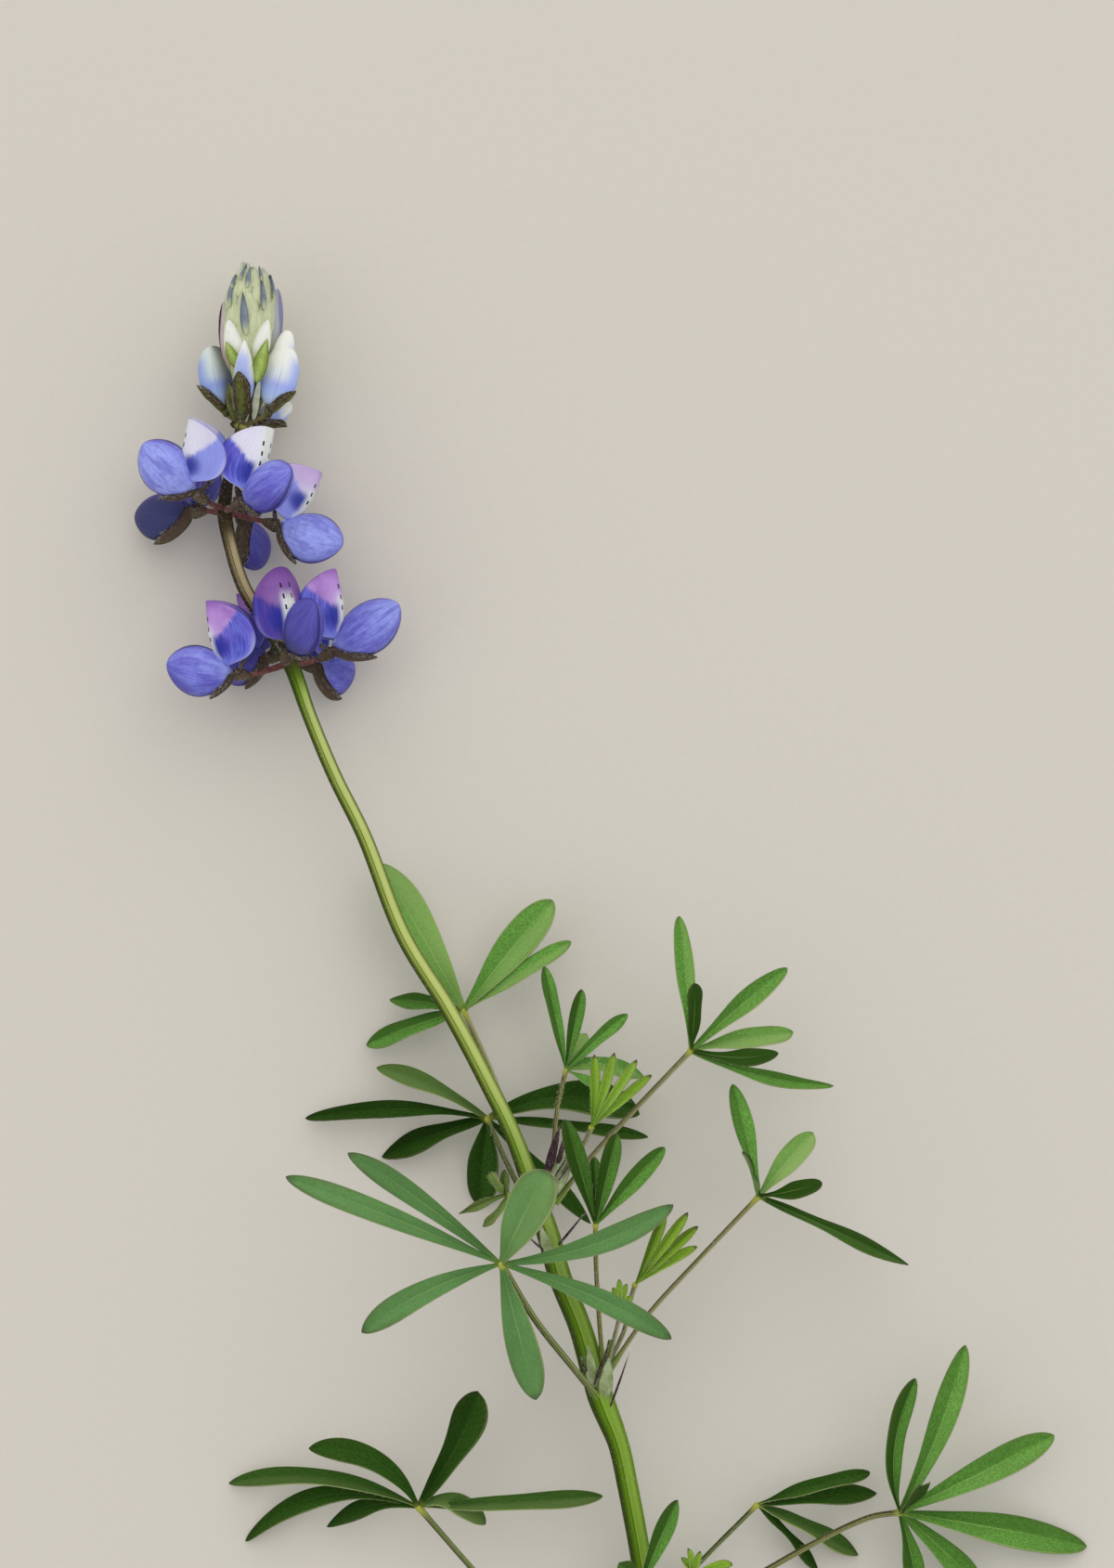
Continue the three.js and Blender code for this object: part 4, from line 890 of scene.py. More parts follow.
class Graph:
    """Builds the node tree of one material in small steps, round one Principled shader."""

    def __init__(self, name, roughness, **sockets):
        """An empty tree with its shader and the values of some of the shader's sockets."""
        self.material = bpy.data.materials.new(name)
        self.material.use_nodes = True
        self.tree = self.material.node_tree
        self.tree.nodes.clear()
        self.shader = self.tree.nodes.new("ShaderNodeBsdfPrincipled")
        end = self.tree.nodes.new("ShaderNodeOutputMaterial")
        self.tree.links.new(self.shader.outputs["BSDF"], end.inputs["Surface"])
        self.shader.inputs["Roughness"].default_value = roughness
        for socket, value in sockets.items():
            self.shader.inputs[socket.replace("_", " ")].default_value = value

    def feed(self, socket, value):
        """Links another node's output to a socket, or sets the socket's own value."""
        if isinstance(value, bpy.types.NodeSocket):
            self.tree.links.new(value, socket)
        elif socket.type == "RGBA":
            socket.default_value = (*tuple(value)[:3], 1.0)
        else:
            socket.default_value = value

    def node(self, kind, *values):
        """A new node whose first sockets take the values."""
        node = self.tree.nodes.new("ShaderNode" + kind)
        for socket, value in zip(node.inputs, values):
            self.feed(socket, value)
        return node

    def parts(self, name):
        """The three parts of a painted value of the piece."""
        source = self.node("Attribute")
        source.attribute_name = name
        return tuple(self.node("SeparateXYZ", source.outputs["Vector"]).outputs)[:3]

    def spot(self):
        """The place on the piece in its own coordinates."""
        return self.node("TexCoord").outputs["Object"]

    def math(self, operation, *values):
        """One number from others by the operation."""
        node = self.node("Math", *values)
        node.operation = operation
        return node.outputs[0]

    def product(self, first, *others):
        """Numbers multiplied one after the other."""
        for other in others:
            first = self.math("MULTIPLY", first, other)
        return first

    def total(self, first, second):
        """The sum of two numbers."""
        return self.math("ADD", first, second)

    def less(self, first, second):
        """The first number less the second."""
        return self.math("SUBTRACT", first, second)

    def size(self, value):
        """A number without its sign."""
        return self.math("ABSOLUTE", value)

    def stretched(self, *pairs):
        """A place to read noise at: two or three numbers, each times its own share."""
        values = [self.product(value, share) for value, share in pairs]
        return self.node("CombineXYZ", *values).outputs[0]

    def band(self, value, low, high, start=0.0, end=1.0):
        """An S from start to end as value goes from low to high."""
        node = self.node("MapRange")
        node.interpolation_type = "SMOOTHSTEP"
        for socket, number in zip(node.inputs, (value, low, high, start, end)):
            self.feed(socket, number)
        return node.outputs[0]

    def noise(self, where, scale, detail=3.0, roughness=0.55):
        """Soft noise from 0 to 1 with so many lumps to a metre or to one step of a number."""
        node = self.node("TexNoise", where)
        node.inputs["Scale"].default_value = scale
        node.inputs["Detail"].default_value = detail
        node.inputs["Roughness"].default_value = roughness
        return node.outputs[0]

    def mix(self, share, first, second):
        """First colour at share 0, second at share 1."""
        node = self.node("Mix")
        node.data_type = "RGBA"
        for place, value in ((0, share), (6, first), (7, second)):
            self.feed(node.inputs[place], value)
        return node.outputs[2]

    def times(self, share, colour, tint):
        """The colour at share 0, multiplied by the tint at share 1."""
        result = self.mix(share, colour, tint)
        result.node.blend_type = "MULTIPLY"
        return result

    def fade(self, colour, tint, value, low, high, share=1.0):
        """The colour, which turns into the tint up to the share as value goes from low to high."""
        return self.mix(self.band(value, low, high, 0.0, share), colour, tint)

    def ramp(self, value, stops):
        """Colours at places from 0 to 1, evenly blended."""
        node = self.node("ValToRGB", value)
        elements = node.color_ramp.elements
        while len(elements) < len(stops):
            elements.new(0.5)
        for element, (place, colour) in zip(elements, stops):
            element.position = place
            element.color = (*tuple(colour)[:3], 1.0)
        return node.outputs[0]

    def relief(self, height, depth, strength=1.0):
        """Small bumps of the surface, in millimetres."""
        node = self.node("Bump")
        node.inputs["Strength"].default_value = strength
        node.inputs["Distance"].default_value = depth * MM
        self.feed(node.inputs["Height"], height)
        self.feed(self.shader.inputs["Normal"], node.outputs[0])

    def finish(self, colour):
        """The material with its colour set."""
        self.feed(self.shader.inputs["Base Color"], colour)
        return self.material


def leaf_finish(name, base, rib_share, gloss, patchy):
    """Leaf skin: softly mottled green, darker or paler by its tone, which carries painted shade
    and light, with painted shade near the hub, a pale rim on the brighter leaflets that is
    partly painted light, a fine midrib, faint slanted side veins, a paler dotted underside, a
    yellow root and reddish ends."""
    paint = colours()
    graph = Graph(name, 0.55, Specular_IOR_Level=gloss, Subsurface_Weight=0.06,
                  Subsurface_Radius=(0.0006, 0.001, 0.0001))
    across, along, rim = graph.parts("place")
    under, tone, blush = graph.parts("tint")
    mottle = graph.noise(graph.spot(), 3300, 3)
    broad = graph.noise(graph.spot(), 120, 2)
    dots = graph.band(graph.noise(graph.spot(), 4200, 2), 0.5, 0.7)
    colour = graph.mix(graph.band(mottle, 0.36, 0.64), scaled(base, 1 - patchy),
                       scaled(base, 1 + patchy))
    colour = graph.fade(colour, scaled(base, 0.62), broad, 0.35, 0.7, 0.35)
    slant = graph.less(graph.product(along, 30.0), graph.product(rim, 3.4))
    jitter = graph.total(slant, graph.product(broad, 3.0))
    vein = graph.band(graph.math("PINGPONG", jitter, 1.0), 0.86, 1.0)
    colour = graph.mix(graph.product(vein, 0.06), colour, paint.rib)
    # Painted shade and light: darker or paler by the tone, which holds each leaflet's painted shade and
    # its painted halves
    colour = graph.fade(colour, scaled(base, (0.14, 0.18, 0.02)), tone, 0.2, -1.0, 0.93)
    colour = graph.fade(colour, blended(base, paint.rib, 0.8), tone, 0.0, 1.6, 0.8)
    # Painted shade: darker towards the hub, where the leaflets crowd together
    colour = graph.times(graph.band(along, 0.4, 0.08, 0.0, 0.5), colour, (0.55, 0.6, 0.45))
    line = graph.band(graph.size(across), 0.075, 0.015)
    colour = graph.mix(graph.product(line, graph.band(along, 0.95, 0.3), rib_share), colour, paint.rib)
    pale = graph.mix(graph.product(dots, 0.5), blended(base, paint.rib, 0.45), hue("leaf_underside"))
    colour = graph.mix(graph.product(under, 0.55), colour, pale)
    # Pale rim, partly the real hairy edge and partly painted light: it shows only on the brighter
    # leaflets
    sunny = graph.product(graph.band(rim, 0.88, 0.98), graph.band(tone, -0.3, 0.5, 0.1, 0.6))
    colour = graph.mix(sunny, colour, hue("leaf_rim"))
    end = graph.product(graph.band(along, 0.45, 1.0), graph.band(rim, 0.35, 1.0))
    end = graph.math("MAXIMUM", end, graph.band(along, 0.975, 1.0))
    colour = graph.mix(graph.product(end, blush, 0.8), colour, hue("leaf_flush"))
    point = graph.product(graph.band(along, 0.93, 0.985), blush)
    colour = graph.mix(point, colour, hue("leaf_point"))
    colour = graph.fade(colour, blended(paint.hub, base, 0.3), along, 0.06, 0.0, 0.8)
    graph.relief(graph.total(graph.product(vein, -0.4), mottle), 0.045, 0.7)
    return graph.finish(colour)


def stalk_finish(name, base):
    """Leaf stalk: olive with lighter lengthwise streaks, painted shade on the sides that face
    away from the light, a paler painted highlight along its top, yellow at the hub."""
    paint = colours()
    graph = Graph(name, 0.55, Specular_IOR_Level=0.08)
    across, along, _ = graph.parts("place")
    streak = graph.noise(graph.stretched((across, 5.0), (along, 1.5)), 3.0)
    colour = graph.mix(graph.band(streak, 0.35, 0.7), scaled(base, 0.62),
                       blended(base, paint.rib, 0.35))
    # Painted shade over most of the round, all but one upper side
    side = graph.band(across, 0.86, 0.56)
    colour = graph.times(graph.product(side, 0.85), colour, (0.25, 0.22, 0.15))
    # Painted highlight: a pale strip along the top
    colour = graph.fade(colour, hue("stalk_side"), graph.size(across), 0.84, 1.0, 0.6)
    colour = graph.fade(colour, paint.stem_low, along, 0.8, 1.0, 0.6)
    colour = graph.fade(colour, paint.hub, along, 0.07, 0.0)
    graph.relief(streak, 0.06)
    return graph.finish(colour)


def stem_colours():
    """Colours along the stem as places from its cut foot at 0 to the tip of the spike at 1."""
    paint = colours()
    return [
        (0.0, scaled(paint.stem_low, 0.9)),
        (0.30, paint.stem_low),
        (0.36, scaled(paint.stem_low, 0.7)),
        (0.47, blended(paint.stem_low, paint.stem_high, 0.2)),
        (0.55, blended(paint.stem_low, paint.stem_high, 0.95)),
        (0.69, scaled(paint.stem_high, 0.9)),
        (0.72, blended(paint.stem_low, paint.stem_high, 0.1)),
        (LOWER_WHORL, hue("whorl_olive")),
        (0.765, blended(paint.stem_spike, hue("whorl_olive"), 0.5)),
        (0.79, paint.stem_spike),
        (0.85, paint.stem_spike),
        (0.872, hue("axis_brown")),
        (0.89, hue("axis_dark")),
        (0.93, hue("axis_grey")),
        (0.965, hue("axis_olive")),
        (1.0, hue("axis_tip")),
    ]


def stem_finish(name):
    """Stem: bright green among the leaves, yellow-green under the spike, brown-olive among
    the flowers, with pale ribs, a painted highlight strip, painted shade on its sides and
    underside, and a pale cut."""
    paint = colours()
    graph = Graph(name, 0.5, Specular_IOR_Level=0.08, Subsurface_Weight=0.04,
                  Subsurface_Radius=(0.001, 0.0014, 0.0002))
    across, along, rib = graph.parts("place")
    colour = graph.ramp(along, stem_colours())
    streak = graph.noise(graph.stretched((across, 9.0), (along, 30.0)), 2.0, 4)
    off_whorl = graph.band(graph.size(graph.less(along, LOWER_WHORL)), 0.01, 0.03)
    bare = graph.product(off_whorl, graph.band(along, 0.87, 0.85))
    ribbed = graph.product(graph.band(rib, -0.4, 1.0), bare, 0.22)
    colour = graph.mix(ribbed, colour, blended(paint.rib, paint.hub, 0.35))
    colour = graph.fade(colour, scaled(paint.stem_low, 0.35), streak, 0.45, 0.75, 0.3)
    # Painted highlight: a lit strip a little to the right of the top, on the upper stem
    facing = graph.size(graph.total(across, 0.84))
    lit = graph.product(graph.band(facing, 0.26, 0.0), graph.band(along, 0.35, 0.6, 0.15, 0.6))
    painted_highlight = graph.mix(graph.band(along, 0.72, 0.78), hue("stalk_light"), hue("axis_highlight"))
    colour = graph.mix(graph.product(lit, bare), colour, painted_highlight)
    # Painted shade on both sides and the underside; the right side's shade grows stronger up the stem
    shady = graph.mix(graph.band(along, 0.73, 0.8), hue("stem_shadow"), hue("axis_shadow"))
    depth = graph.math("MAXIMUM", graph.band(along, 0.3, 0.75, 0.4, 1.0),
                       graph.band(across, -0.1, 0.1))
    right = graph.product(graph.band(across, -0.8, -0.58), depth)
    sides = graph.math("MINIMUM", graph.band(across, 1.02, 0.74), right)
    sides = graph.product(sides, graph.band(graph.size(across), 0.05, 0.4, 0.6, 0.95))
    colour = graph.mix(sides, colour, shady)
    colour = graph.fade(colour, hue("stem_cut"), along, -0.2, -0.6)
    graph.relief(graph.total(streak, graph.noise(graph.spot(), 900, 3)), 0.05, 0.7)
    return graph.finish(colour)


def plain_finish(name, base, light, scale=700):
    """A mottled skin between a deeper and a lighter colour, with lengthwise streaks."""
    graph = Graph(name, 0.7, Specular_IOR_Level=0.15)
    across, along, _ = graph.parts("place")
    mottle = graph.noise(graph.spot(), scale, 4)
    streak = graph.noise(graph.stretched((across, 6.0), (along, 2.0)), 3.0)
    both = graph.product(graph.total(mottle, streak), 0.5)
    graph.relief(both, 0.05)
    return graph.finish(graph.mix(graph.band(both, 0.36, 0.66), base, light))


def hair_finish(name):
    """Silver hair with a soft sheen, slightly darker at some places."""
    graph = Graph(name, 0.45, Subsurface_Weight=0.0, Sheen_Weight=0.3)
    tone = graph.noise(graph.spot(), 60, 2)
    base = colours().hair
    return graph.finish(graph.mix(graph.band(tone, 0.3, 0.7), scaled(base, 0.72), base))


def wing_finish(name):
    """Wing petals: violet-blue with fine streaks that fan out from the pale claw, paler
    or deeper by its tone, which carries the flower's painted shade and light."""
    paint = colours()
    graph = Graph(name, 0.45, Specular_IOR_Level=0.2, Subsurface_Weight=0.06,
                  Subsurface_Radius=(0.0005, 0.0003, 0.001))
    across, along, rim = graph.parts("place")
    _, tone, own = graph.parts("tint")
    fan = graph.stretched((across, 16.0), (along, 1.4), (own, 9.0))
    streak = graph.noise(fan, 2.2, 4)
    broad = graph.noise(graph.stretched((across, 2.4), (along, 1.5), (own, 5.0)), 1.7, 3)
    grain = graph.noise(graph.spot(), 1500, 3)
    light = blended(paint.wing, paint.claw, 0.45)
    violet = scaled(paint.wing, (0.62, 0.42, 0.66))
    colour = graph.mix(graph.band(streak, 0.3, 0.72), scaled(paint.wing, 0.7), light)
    wash = graph.product(graph.band(tone, 0.0, 1.0, 0.0, 0.95),
                         graph.band(streak, 0.3, 0.7, 0.72, 1.0))
    colour = graph.mix(wash, colour, paint.claw)
    colour = graph.fade(colour, violet, broad, 0.44, 0.64, 0.5)
    colour = graph.fade(colour, light, broad, 0.5, 0.34, 0.5)
    colour = graph.fade(colour, scaled(paint.wing, 0.5), grain, 0.4, 0.7, 0.25)
    # Painted shade: darker by a low tone, nearly dark for the lowest
    colour = graph.fade(colour, scaled(paint.wing, (0.42, 0.33, 0.42)), tone, 0.1, -0.7, 0.8)
    colour = graph.fade(colour, scaled(paint.wing, (0.2, 0.24, 0.12)), tone, -0.76, -1.0, 0.9)
    colour = graph.fade(colour, violet, across, 0.4, 1.0, 0.4)
    claw = graph.product(graph.band(along, 0.25, 0.03, 0.0, 0.6), graph.band(tone, -0.9, 0.2))
    colour = graph.mix(claw, colour, paint.claw)
    vein = graph.band(graph.noise(fan, 4.5, 2), 0.54, 0.62)
    colour = graph.times(graph.product(vein, 0.5), colour, (0.55, 0.5, 0.75))
    edge = graph.math("MAXIMUM", graph.band(rim, 0.95, 1.0), graph.band(along, 0.98, 1.0))
    colour = graph.mix(graph.product(edge, 0.3), colour, violet)
    graph.relief(streak, 0.1, 0.4)
    return graph.finish(colour)


# How a banner's colours lie, by its age: slope and start of the line between the pale or pink
# part and the blue, half width and top of the white strip, where the upper colour changes from
# the middle to the top one, how much deeper the crown is and how blotched the upper part
BANNER_LOOKS = {
    "old": dict(slope=0.55, start=0.34, strip=0.26, white_top=0.75,
                rise=(0.4, 0.8), crown=0.7, blotch=0.9),
    "turning": dict(slope=0.5, start=0.4, strip=0.3, white_top=0.8,
                    rise=(0.35, 0.8), crown=0.2, blotch=0.15),
    "young": dict(slope=0.55, start=0.3, strip=0.5, white_top=1.3,
                  rise=(0.7, 1.0), crown=0.1, blotch=0.2),
}
OLD_BLUSH = 0.8
TURNING_BLUSH = 0.3
DASHES = (0.48, 0.62, 0.76)
INK = (0.004, 0.003, 0.012)


def banner_finish(name, middle, top, look):
    """Banner petal. Across is the distance from the midline and along the height. Above a
    slanting line it is pale or pink, below it blue; a deep spot sits where the line starts,
    and short black dashes run beside the midline. Its tone makes it paler or darker, partly
    as painted light and shade."""
    paint = colours()
    graph = Graph(name, 0.5, Specular_IOR_Level=0.15, Subsurface_Weight=0.06,
                  Subsurface_Radius=(0.0005, 0.0004, 0.001))
    across, along, rim = graph.parts("place")
    under, tone, _ = graph.parts("tint")
    away = graph.size(across)
    fan = graph.stretched((rim, 14.0), (along, 1.8), (tone, 7.0))
    streak = graph.noise(fan, 2.4, 4)
    broad = graph.noise(graph.spot(), 260, 2)
    ragged = graph.product(graph.less(graph.total(streak, graph.noise(fan, 8, 3)), 1.0), 0.14)
    height = graph.total(along, ragged)
    above = graph.less(height, graph.total(graph.product(away, look["slope"]), look["start"]))
    blue = graph.mix(graph.band(streak, 0.3, 0.7), scaled(paint.banner_blue, 0.7),
                     blended(paint.banner_blue, paint.claw, 0.3))
    blue = graph.fade(blue, hue("banner_violet"), broad, 0.42, 0.68, 0.5)
    blue = graph.fade(blue, paint.wing, rim, 0.6, 1.0, 0.35)
    blue = graph.fade(blue, paint.claw, along, 0.2, 0.0, 0.6)
    # Painted light: the blue pales by a high tone
    blue = graph.fade(blue, paint.claw, tone, 0.2, 1.0, 0.55)
    upper = graph.mix(graph.band(height, *look["rise"]), middle, top)
    upper = graph.times(graph.band(along, 0.8, 1.0, 0.0, look["crown"]), upper, (0.5, 0.3, 0.62))
    upper = graph.fade(upper, blended(top, paint.wing, 0.4), streak, 0.45, 0.8, 0.2)
    blotch = graph.product(graph.band(away, 0.15, 0.6), graph.band(broad, 0.35, 0.6), look["blotch"])
    upper = graph.times(blotch, upper, (0.55, 0.38, 0.7))
    white = graph.fade(paint.banner_white, hue("banner_streak"), streak, 0.3, 0.7, 0.5)
    white = graph.fade(white, hue("banner_midline"), away, 0.2, 0.04, 0.6)
    strip = graph.band(away, look["strip"], look["strip"] * 0.35)
    shown = graph.product(strip, graph.band(along, look["white_top"], look["white_top"] - 0.3))
    colour = graph.fade(blue, graph.mix(shown, upper, white), above, -0.03, 0.06)
    fringe = graph.product(graph.band(rim, 0.82, 1.0, 0.0, 0.6), graph.band(along, 0.5, 0.25))
    colour = graph.mix(fringe, colour, blended(paint.claw, paint.banner_white, 0.6))
    # Painted shade: darker by a low tone
    colour = graph.times(graph.band(tone, -0.1, -0.9), colour, (0.42, 0.32, 0.5))
    dx = graph.math("DIVIDE", graph.less(away, 0.18), 0.3)
    dy = graph.math("DIVIDE", graph.less(along, look["start"] + 0.02), 0.2)
    distance = graph.total(graph.product(dx, dx), graph.product(dy, dy))
    colour = graph.fade(colour, paint.banner_spot, distance, 1.1, 0.0, 0.9)
    foot = graph.product(graph.band(away, 0.2, 0.08), graph.band(along, 0.1, 0.2),
                         graph.band(along, look["white_top"], look["white_top"] - 0.25))
    colour = graph.mix(foot, colour, white)
    for dash in DASHES:
        gap = graph.size(graph.less(along, dash))
        aside = graph.size(graph.less(away, 0.078 + 0.04 * (dash - 0.5)))
        ink = graph.product(graph.band(gap, 0.036, 0.026), graph.band(aside, 0.020, 0.013))
        colour = graph.mix(ink, colour, INK)
    edge = graph.math("MAXIMUM", graph.band(rim, 0.96, 1.0), graph.band(along, 0.99, 1.0))
    colour = graph.mix(graph.product(edge, 0.55), colour, hue("banner_edge"))
    colour = graph.mix(graph.product(under, 0.2), colour, paint.claw)
    graph.relief(streak, 0.1, 0.4)
    return graph.finish(colour)


def bud_finish(name, foot, middle, tip):
    """Closed bud petals: one colour into the next from the foot to the tip, the middle one
    also along the outer edge, with fine lengthwise veins, the line of the overlap, and painted
    shade by the shadow value: dark on the side towards the spike and darker all over."""
    graph = Graph(name, 0.5, Specular_IOR_Level=0.25, Subsurface_Weight=0.12,
                  Subsurface_Radius=(0.0005, 0.0005, 0.0009))
    across, along, _ = graph.parts("place")
    _, tone, shadow = graph.parts("tint")
    lines = graph.noise(graph.stretched((across, 11.0), (along, 1.0), (tone, 1.0)), 2.5, 4)
    moved = graph.total(along, graph.product(graph.less(lines, 0.5), 0.4))
    colour = graph.ramp(moved, [(0.06, foot), (0.24, middle),
                                (0.36, blended(middle, hue("bud_violet"), 0.7)),
                                (0.5, blended(middle, tip, 0.7)), (0.7, tip)])
    flank = graph.product(graph.band(across, 0.3, 0.95, 0.0, 0.75), graph.band(moved, 0.95, 0.7))
    colour = graph.mix(flank, colour, blended(middle, hue("bud_flank"), 0.7))
    colour = graph.fade(colour, tip, across, -0.72, -0.95, 0.6)
    # Painted shade: dark on the side towards the spike, and the whole bud darker
    inward = graph.product(shadow, graph.band(across, 0.4, -0.5))
    colour = graph.times(inward, colour, (0.16, 0.16, 0.13))
    colour = graph.times(graph.product(shadow, 0.6), colour, (0.55, 0.66, 0.7))
    crease = graph.band(graph.size(graph.less(across, CREASE_PLACE)), 0.05, 0.0)
    crease = graph.product(crease, graph.band(moved, 0.75, 0.4), 0.5)
    colour = graph.mix(crease, colour, scaled(middle, 0.5))
    fine = graph.noise(graph.stretched((across, 30.0), (along, 3.0), (tone, 1.0)), 2.0)
    colour = graph.fade(colour, scaled(middle, 0.8), fine, 0.5, 0.75, 0.3)
    graph.relief(lines, 0.08, 0.5)
    return graph.finish(colour)


def side_bud_finish(name, foot, inner, edge, reach):
    """Small side bud: one pale colour from foot to tip with fine lines, and a dark outer edge
    that widens towards the tip."""
    graph = Graph(name, 0.5, Specular_IOR_Level=0.2, Subsurface_Weight=0.1,
                  Subsurface_Radius=(0.0005, 0.0005, 0.0006))
    across, along, _ = graph.parts("place")
    lines = graph.noise(graph.stretched((across, 12.0), (along, 1.0)), 2.5, 4)
    colour = graph.mix(graph.band(along, 0.1, 0.5), foot, inner)
    colour = graph.fade(colour, scaled(inner, 0.6), lines, 0.45, 0.7, 0.35)
    start = graph.less(1.0, graph.product(graph.band(along, 0.3, 0.95, 0.3, 1.6), reach))
    colour = graph.fade(colour, edge, graph.less(across, start), -0.12, 0.12)
    graph.relief(lines, 0.08, 0.5)
    return graph.finish(colour)


def sliver_finish(name):
    """Closed petals between the scales: blue-grey, dark at the point, fading into the scales."""
    paint = colours()
    graph = Graph(name, 0.6, Specular_IOR_Level=0.15)
    across, along, _ = graph.parts("place")
    lines = graph.noise(graph.stretched((across, 8.0), (along, 1.0)), 3.0, 4)
    middle = graph.mix(graph.band(lines, 0.35, 0.7), scaled(paint.sliver, 0.75),
                       blended(paint.sliver, paint.hair, 0.35))
    colour = graph.mix(graph.band(along, 0.02, 0.4), blended(paint.scale, paint.sliver, 0.25), middle)
    colour = graph.fade(colour, hue("sliver_point"), along, 0.72, 0.98, 0.8)
    colour = graph.fade(colour, hue("sliver_point"), across, -0.3, -1.0, 0.6)
    graph.relief(lines, 0.05)
    return graph.finish(colour)


def calyx_finish(name, edge, heart, contrast):
    """Calyx: the heart colour along the middle, the edge colour at the rims, and a fine
    mottle of the deepened edge colour."""
    graph = Graph(name, 0.75, Specular_IOR_Level=0.15)
    across, _, rim = graph.parts("place")
    mottle = graph.noise(graph.spot(), 1100, 3)
    colour = graph.mix(graph.band(graph.size(across), 0.75, 0.1), edge, heart)
    colour = graph.fade(colour, scaled(edge, 0.55), mottle, 0.4, 0.68, contrast)
    colour = graph.fade(colour, scaled(edge, 0.45), rim, 0.75, 1.0, 0.7)
    graph.relief(mottle, 0.03)
    return graph.finish(colour)


def scale_finish(name):
    """Silky scales of the tip: pale green with fine lines, greener at the root, greyer at the
    rims, bluish towards the point."""
    paint = colours()
    graph = Graph(name, 0.6, Subsurface_Weight=0.15, Subsurface_Radius=(0.0006, 0.0008, 0.0003),
                  Sheen_Weight=0.3, Sheen_Roughness=0.4)
    across, along, rim = graph.parts("place")
    _, tone, _ = graph.parts("tint")
    lines = graph.noise(graph.stretched((across, 12.0), (along, 1.0), (tone, 1.0)), 2.5, 4)
    colour = graph.mix(graph.band(lines, 0.36, 0.64), scaled(paint.scale, 0.68),
                       blended(paint.scale, paint.hair, 0.3))
    colour = graph.fade(colour, hue("scale_root"), along, 0.5, 0.05, 0.45)
    colour = graph.fade(colour, hue("scale_rim"), rim, 0.6, 1.0, 0.5)
    colour = graph.fade(colour, hue("scale_point"), along, 0.8, 1.0, 0.45)
    graph.relief(lines, 0.1, 0.6)
    return graph.finish(colour)


def table_finish(name):
    """Pale matte table with a hardly visible grain."""
    base = colours().table
    graph = Graph(name, 0.9, Specular_IOR_Level=0.15)
    grain = graph.noise(graph.spot(), 900, 2)
    colour = graph.mix(graph.band(grain, 0.3, 0.7), scaled(base, 0.985), base)
    cloud = graph.noise(graph.spot(), 6, 2)
    return graph.finish(graph.fade(colour, scaled(base, 0.97), cloud, 0.3, 0.7, 0.3))


def material(name, make, *values):
    """The material of that name, made the first time it is asked for."""
    return bpy.data.materials.get(name) or make(name, *values)


def banner_skin(blush):
    """Material of a banner that is old, turning or young by its blush."""
    paint = colours()
    if blush > OLD_BLUSH:
        age, top = "old", paint.banner_pink
        middle = blended(paint.banner_pink, paint.banner_white, 0.3)
    elif blush > TURNING_BLUSH:
        age, middle = "turning", paint.banner_white
        top = blended(paint.banner_pink, paint.banner_white, 0.4)
    else:
        age, middle, top = "young", paint.banner_white, hue("young_banner_top")
    return material("banner_" + age, banner_finish, middle, top, BANNER_LOOKS[age])


def blade_outline(along, least):
    """Half width of a pointed blade as a share: a sine that leans to the root, to a power."""
    return np.maximum(np.sin(np.pi * along ** 0.7) ** 0.8, least)


def blade(root, tip, width, arch=0.6 * MM, thickness=0.3 * MM, up=UP):
    """Rings and painted values of a pointed blade from root to tip: the middle line arches up
    by a parabola, and the halves rise a little from it."""
    along = np.linspace(0, 1, 20)
    line = root + (tip - root) * along[:, None] + up * (arch * 4 * along * (1 - along))[:, None]
    tangent = unit(np.gradient(line, axis=0))
    flat = unit(np.cross(tangent, up))
    across, side = band_of(spread(9, 1.1))
    half = width / 2 * blade_outline(along, 0.06)[:, None]
    rise = np.abs(across) * half * 0.35 + side * thinning(across, 0) * thickness / 2
    rings = rings_along(line, (flat, half * across), (np.cross(flat, tangent), rise))
    return rings, painted(across, along[:, None], np.abs(across))


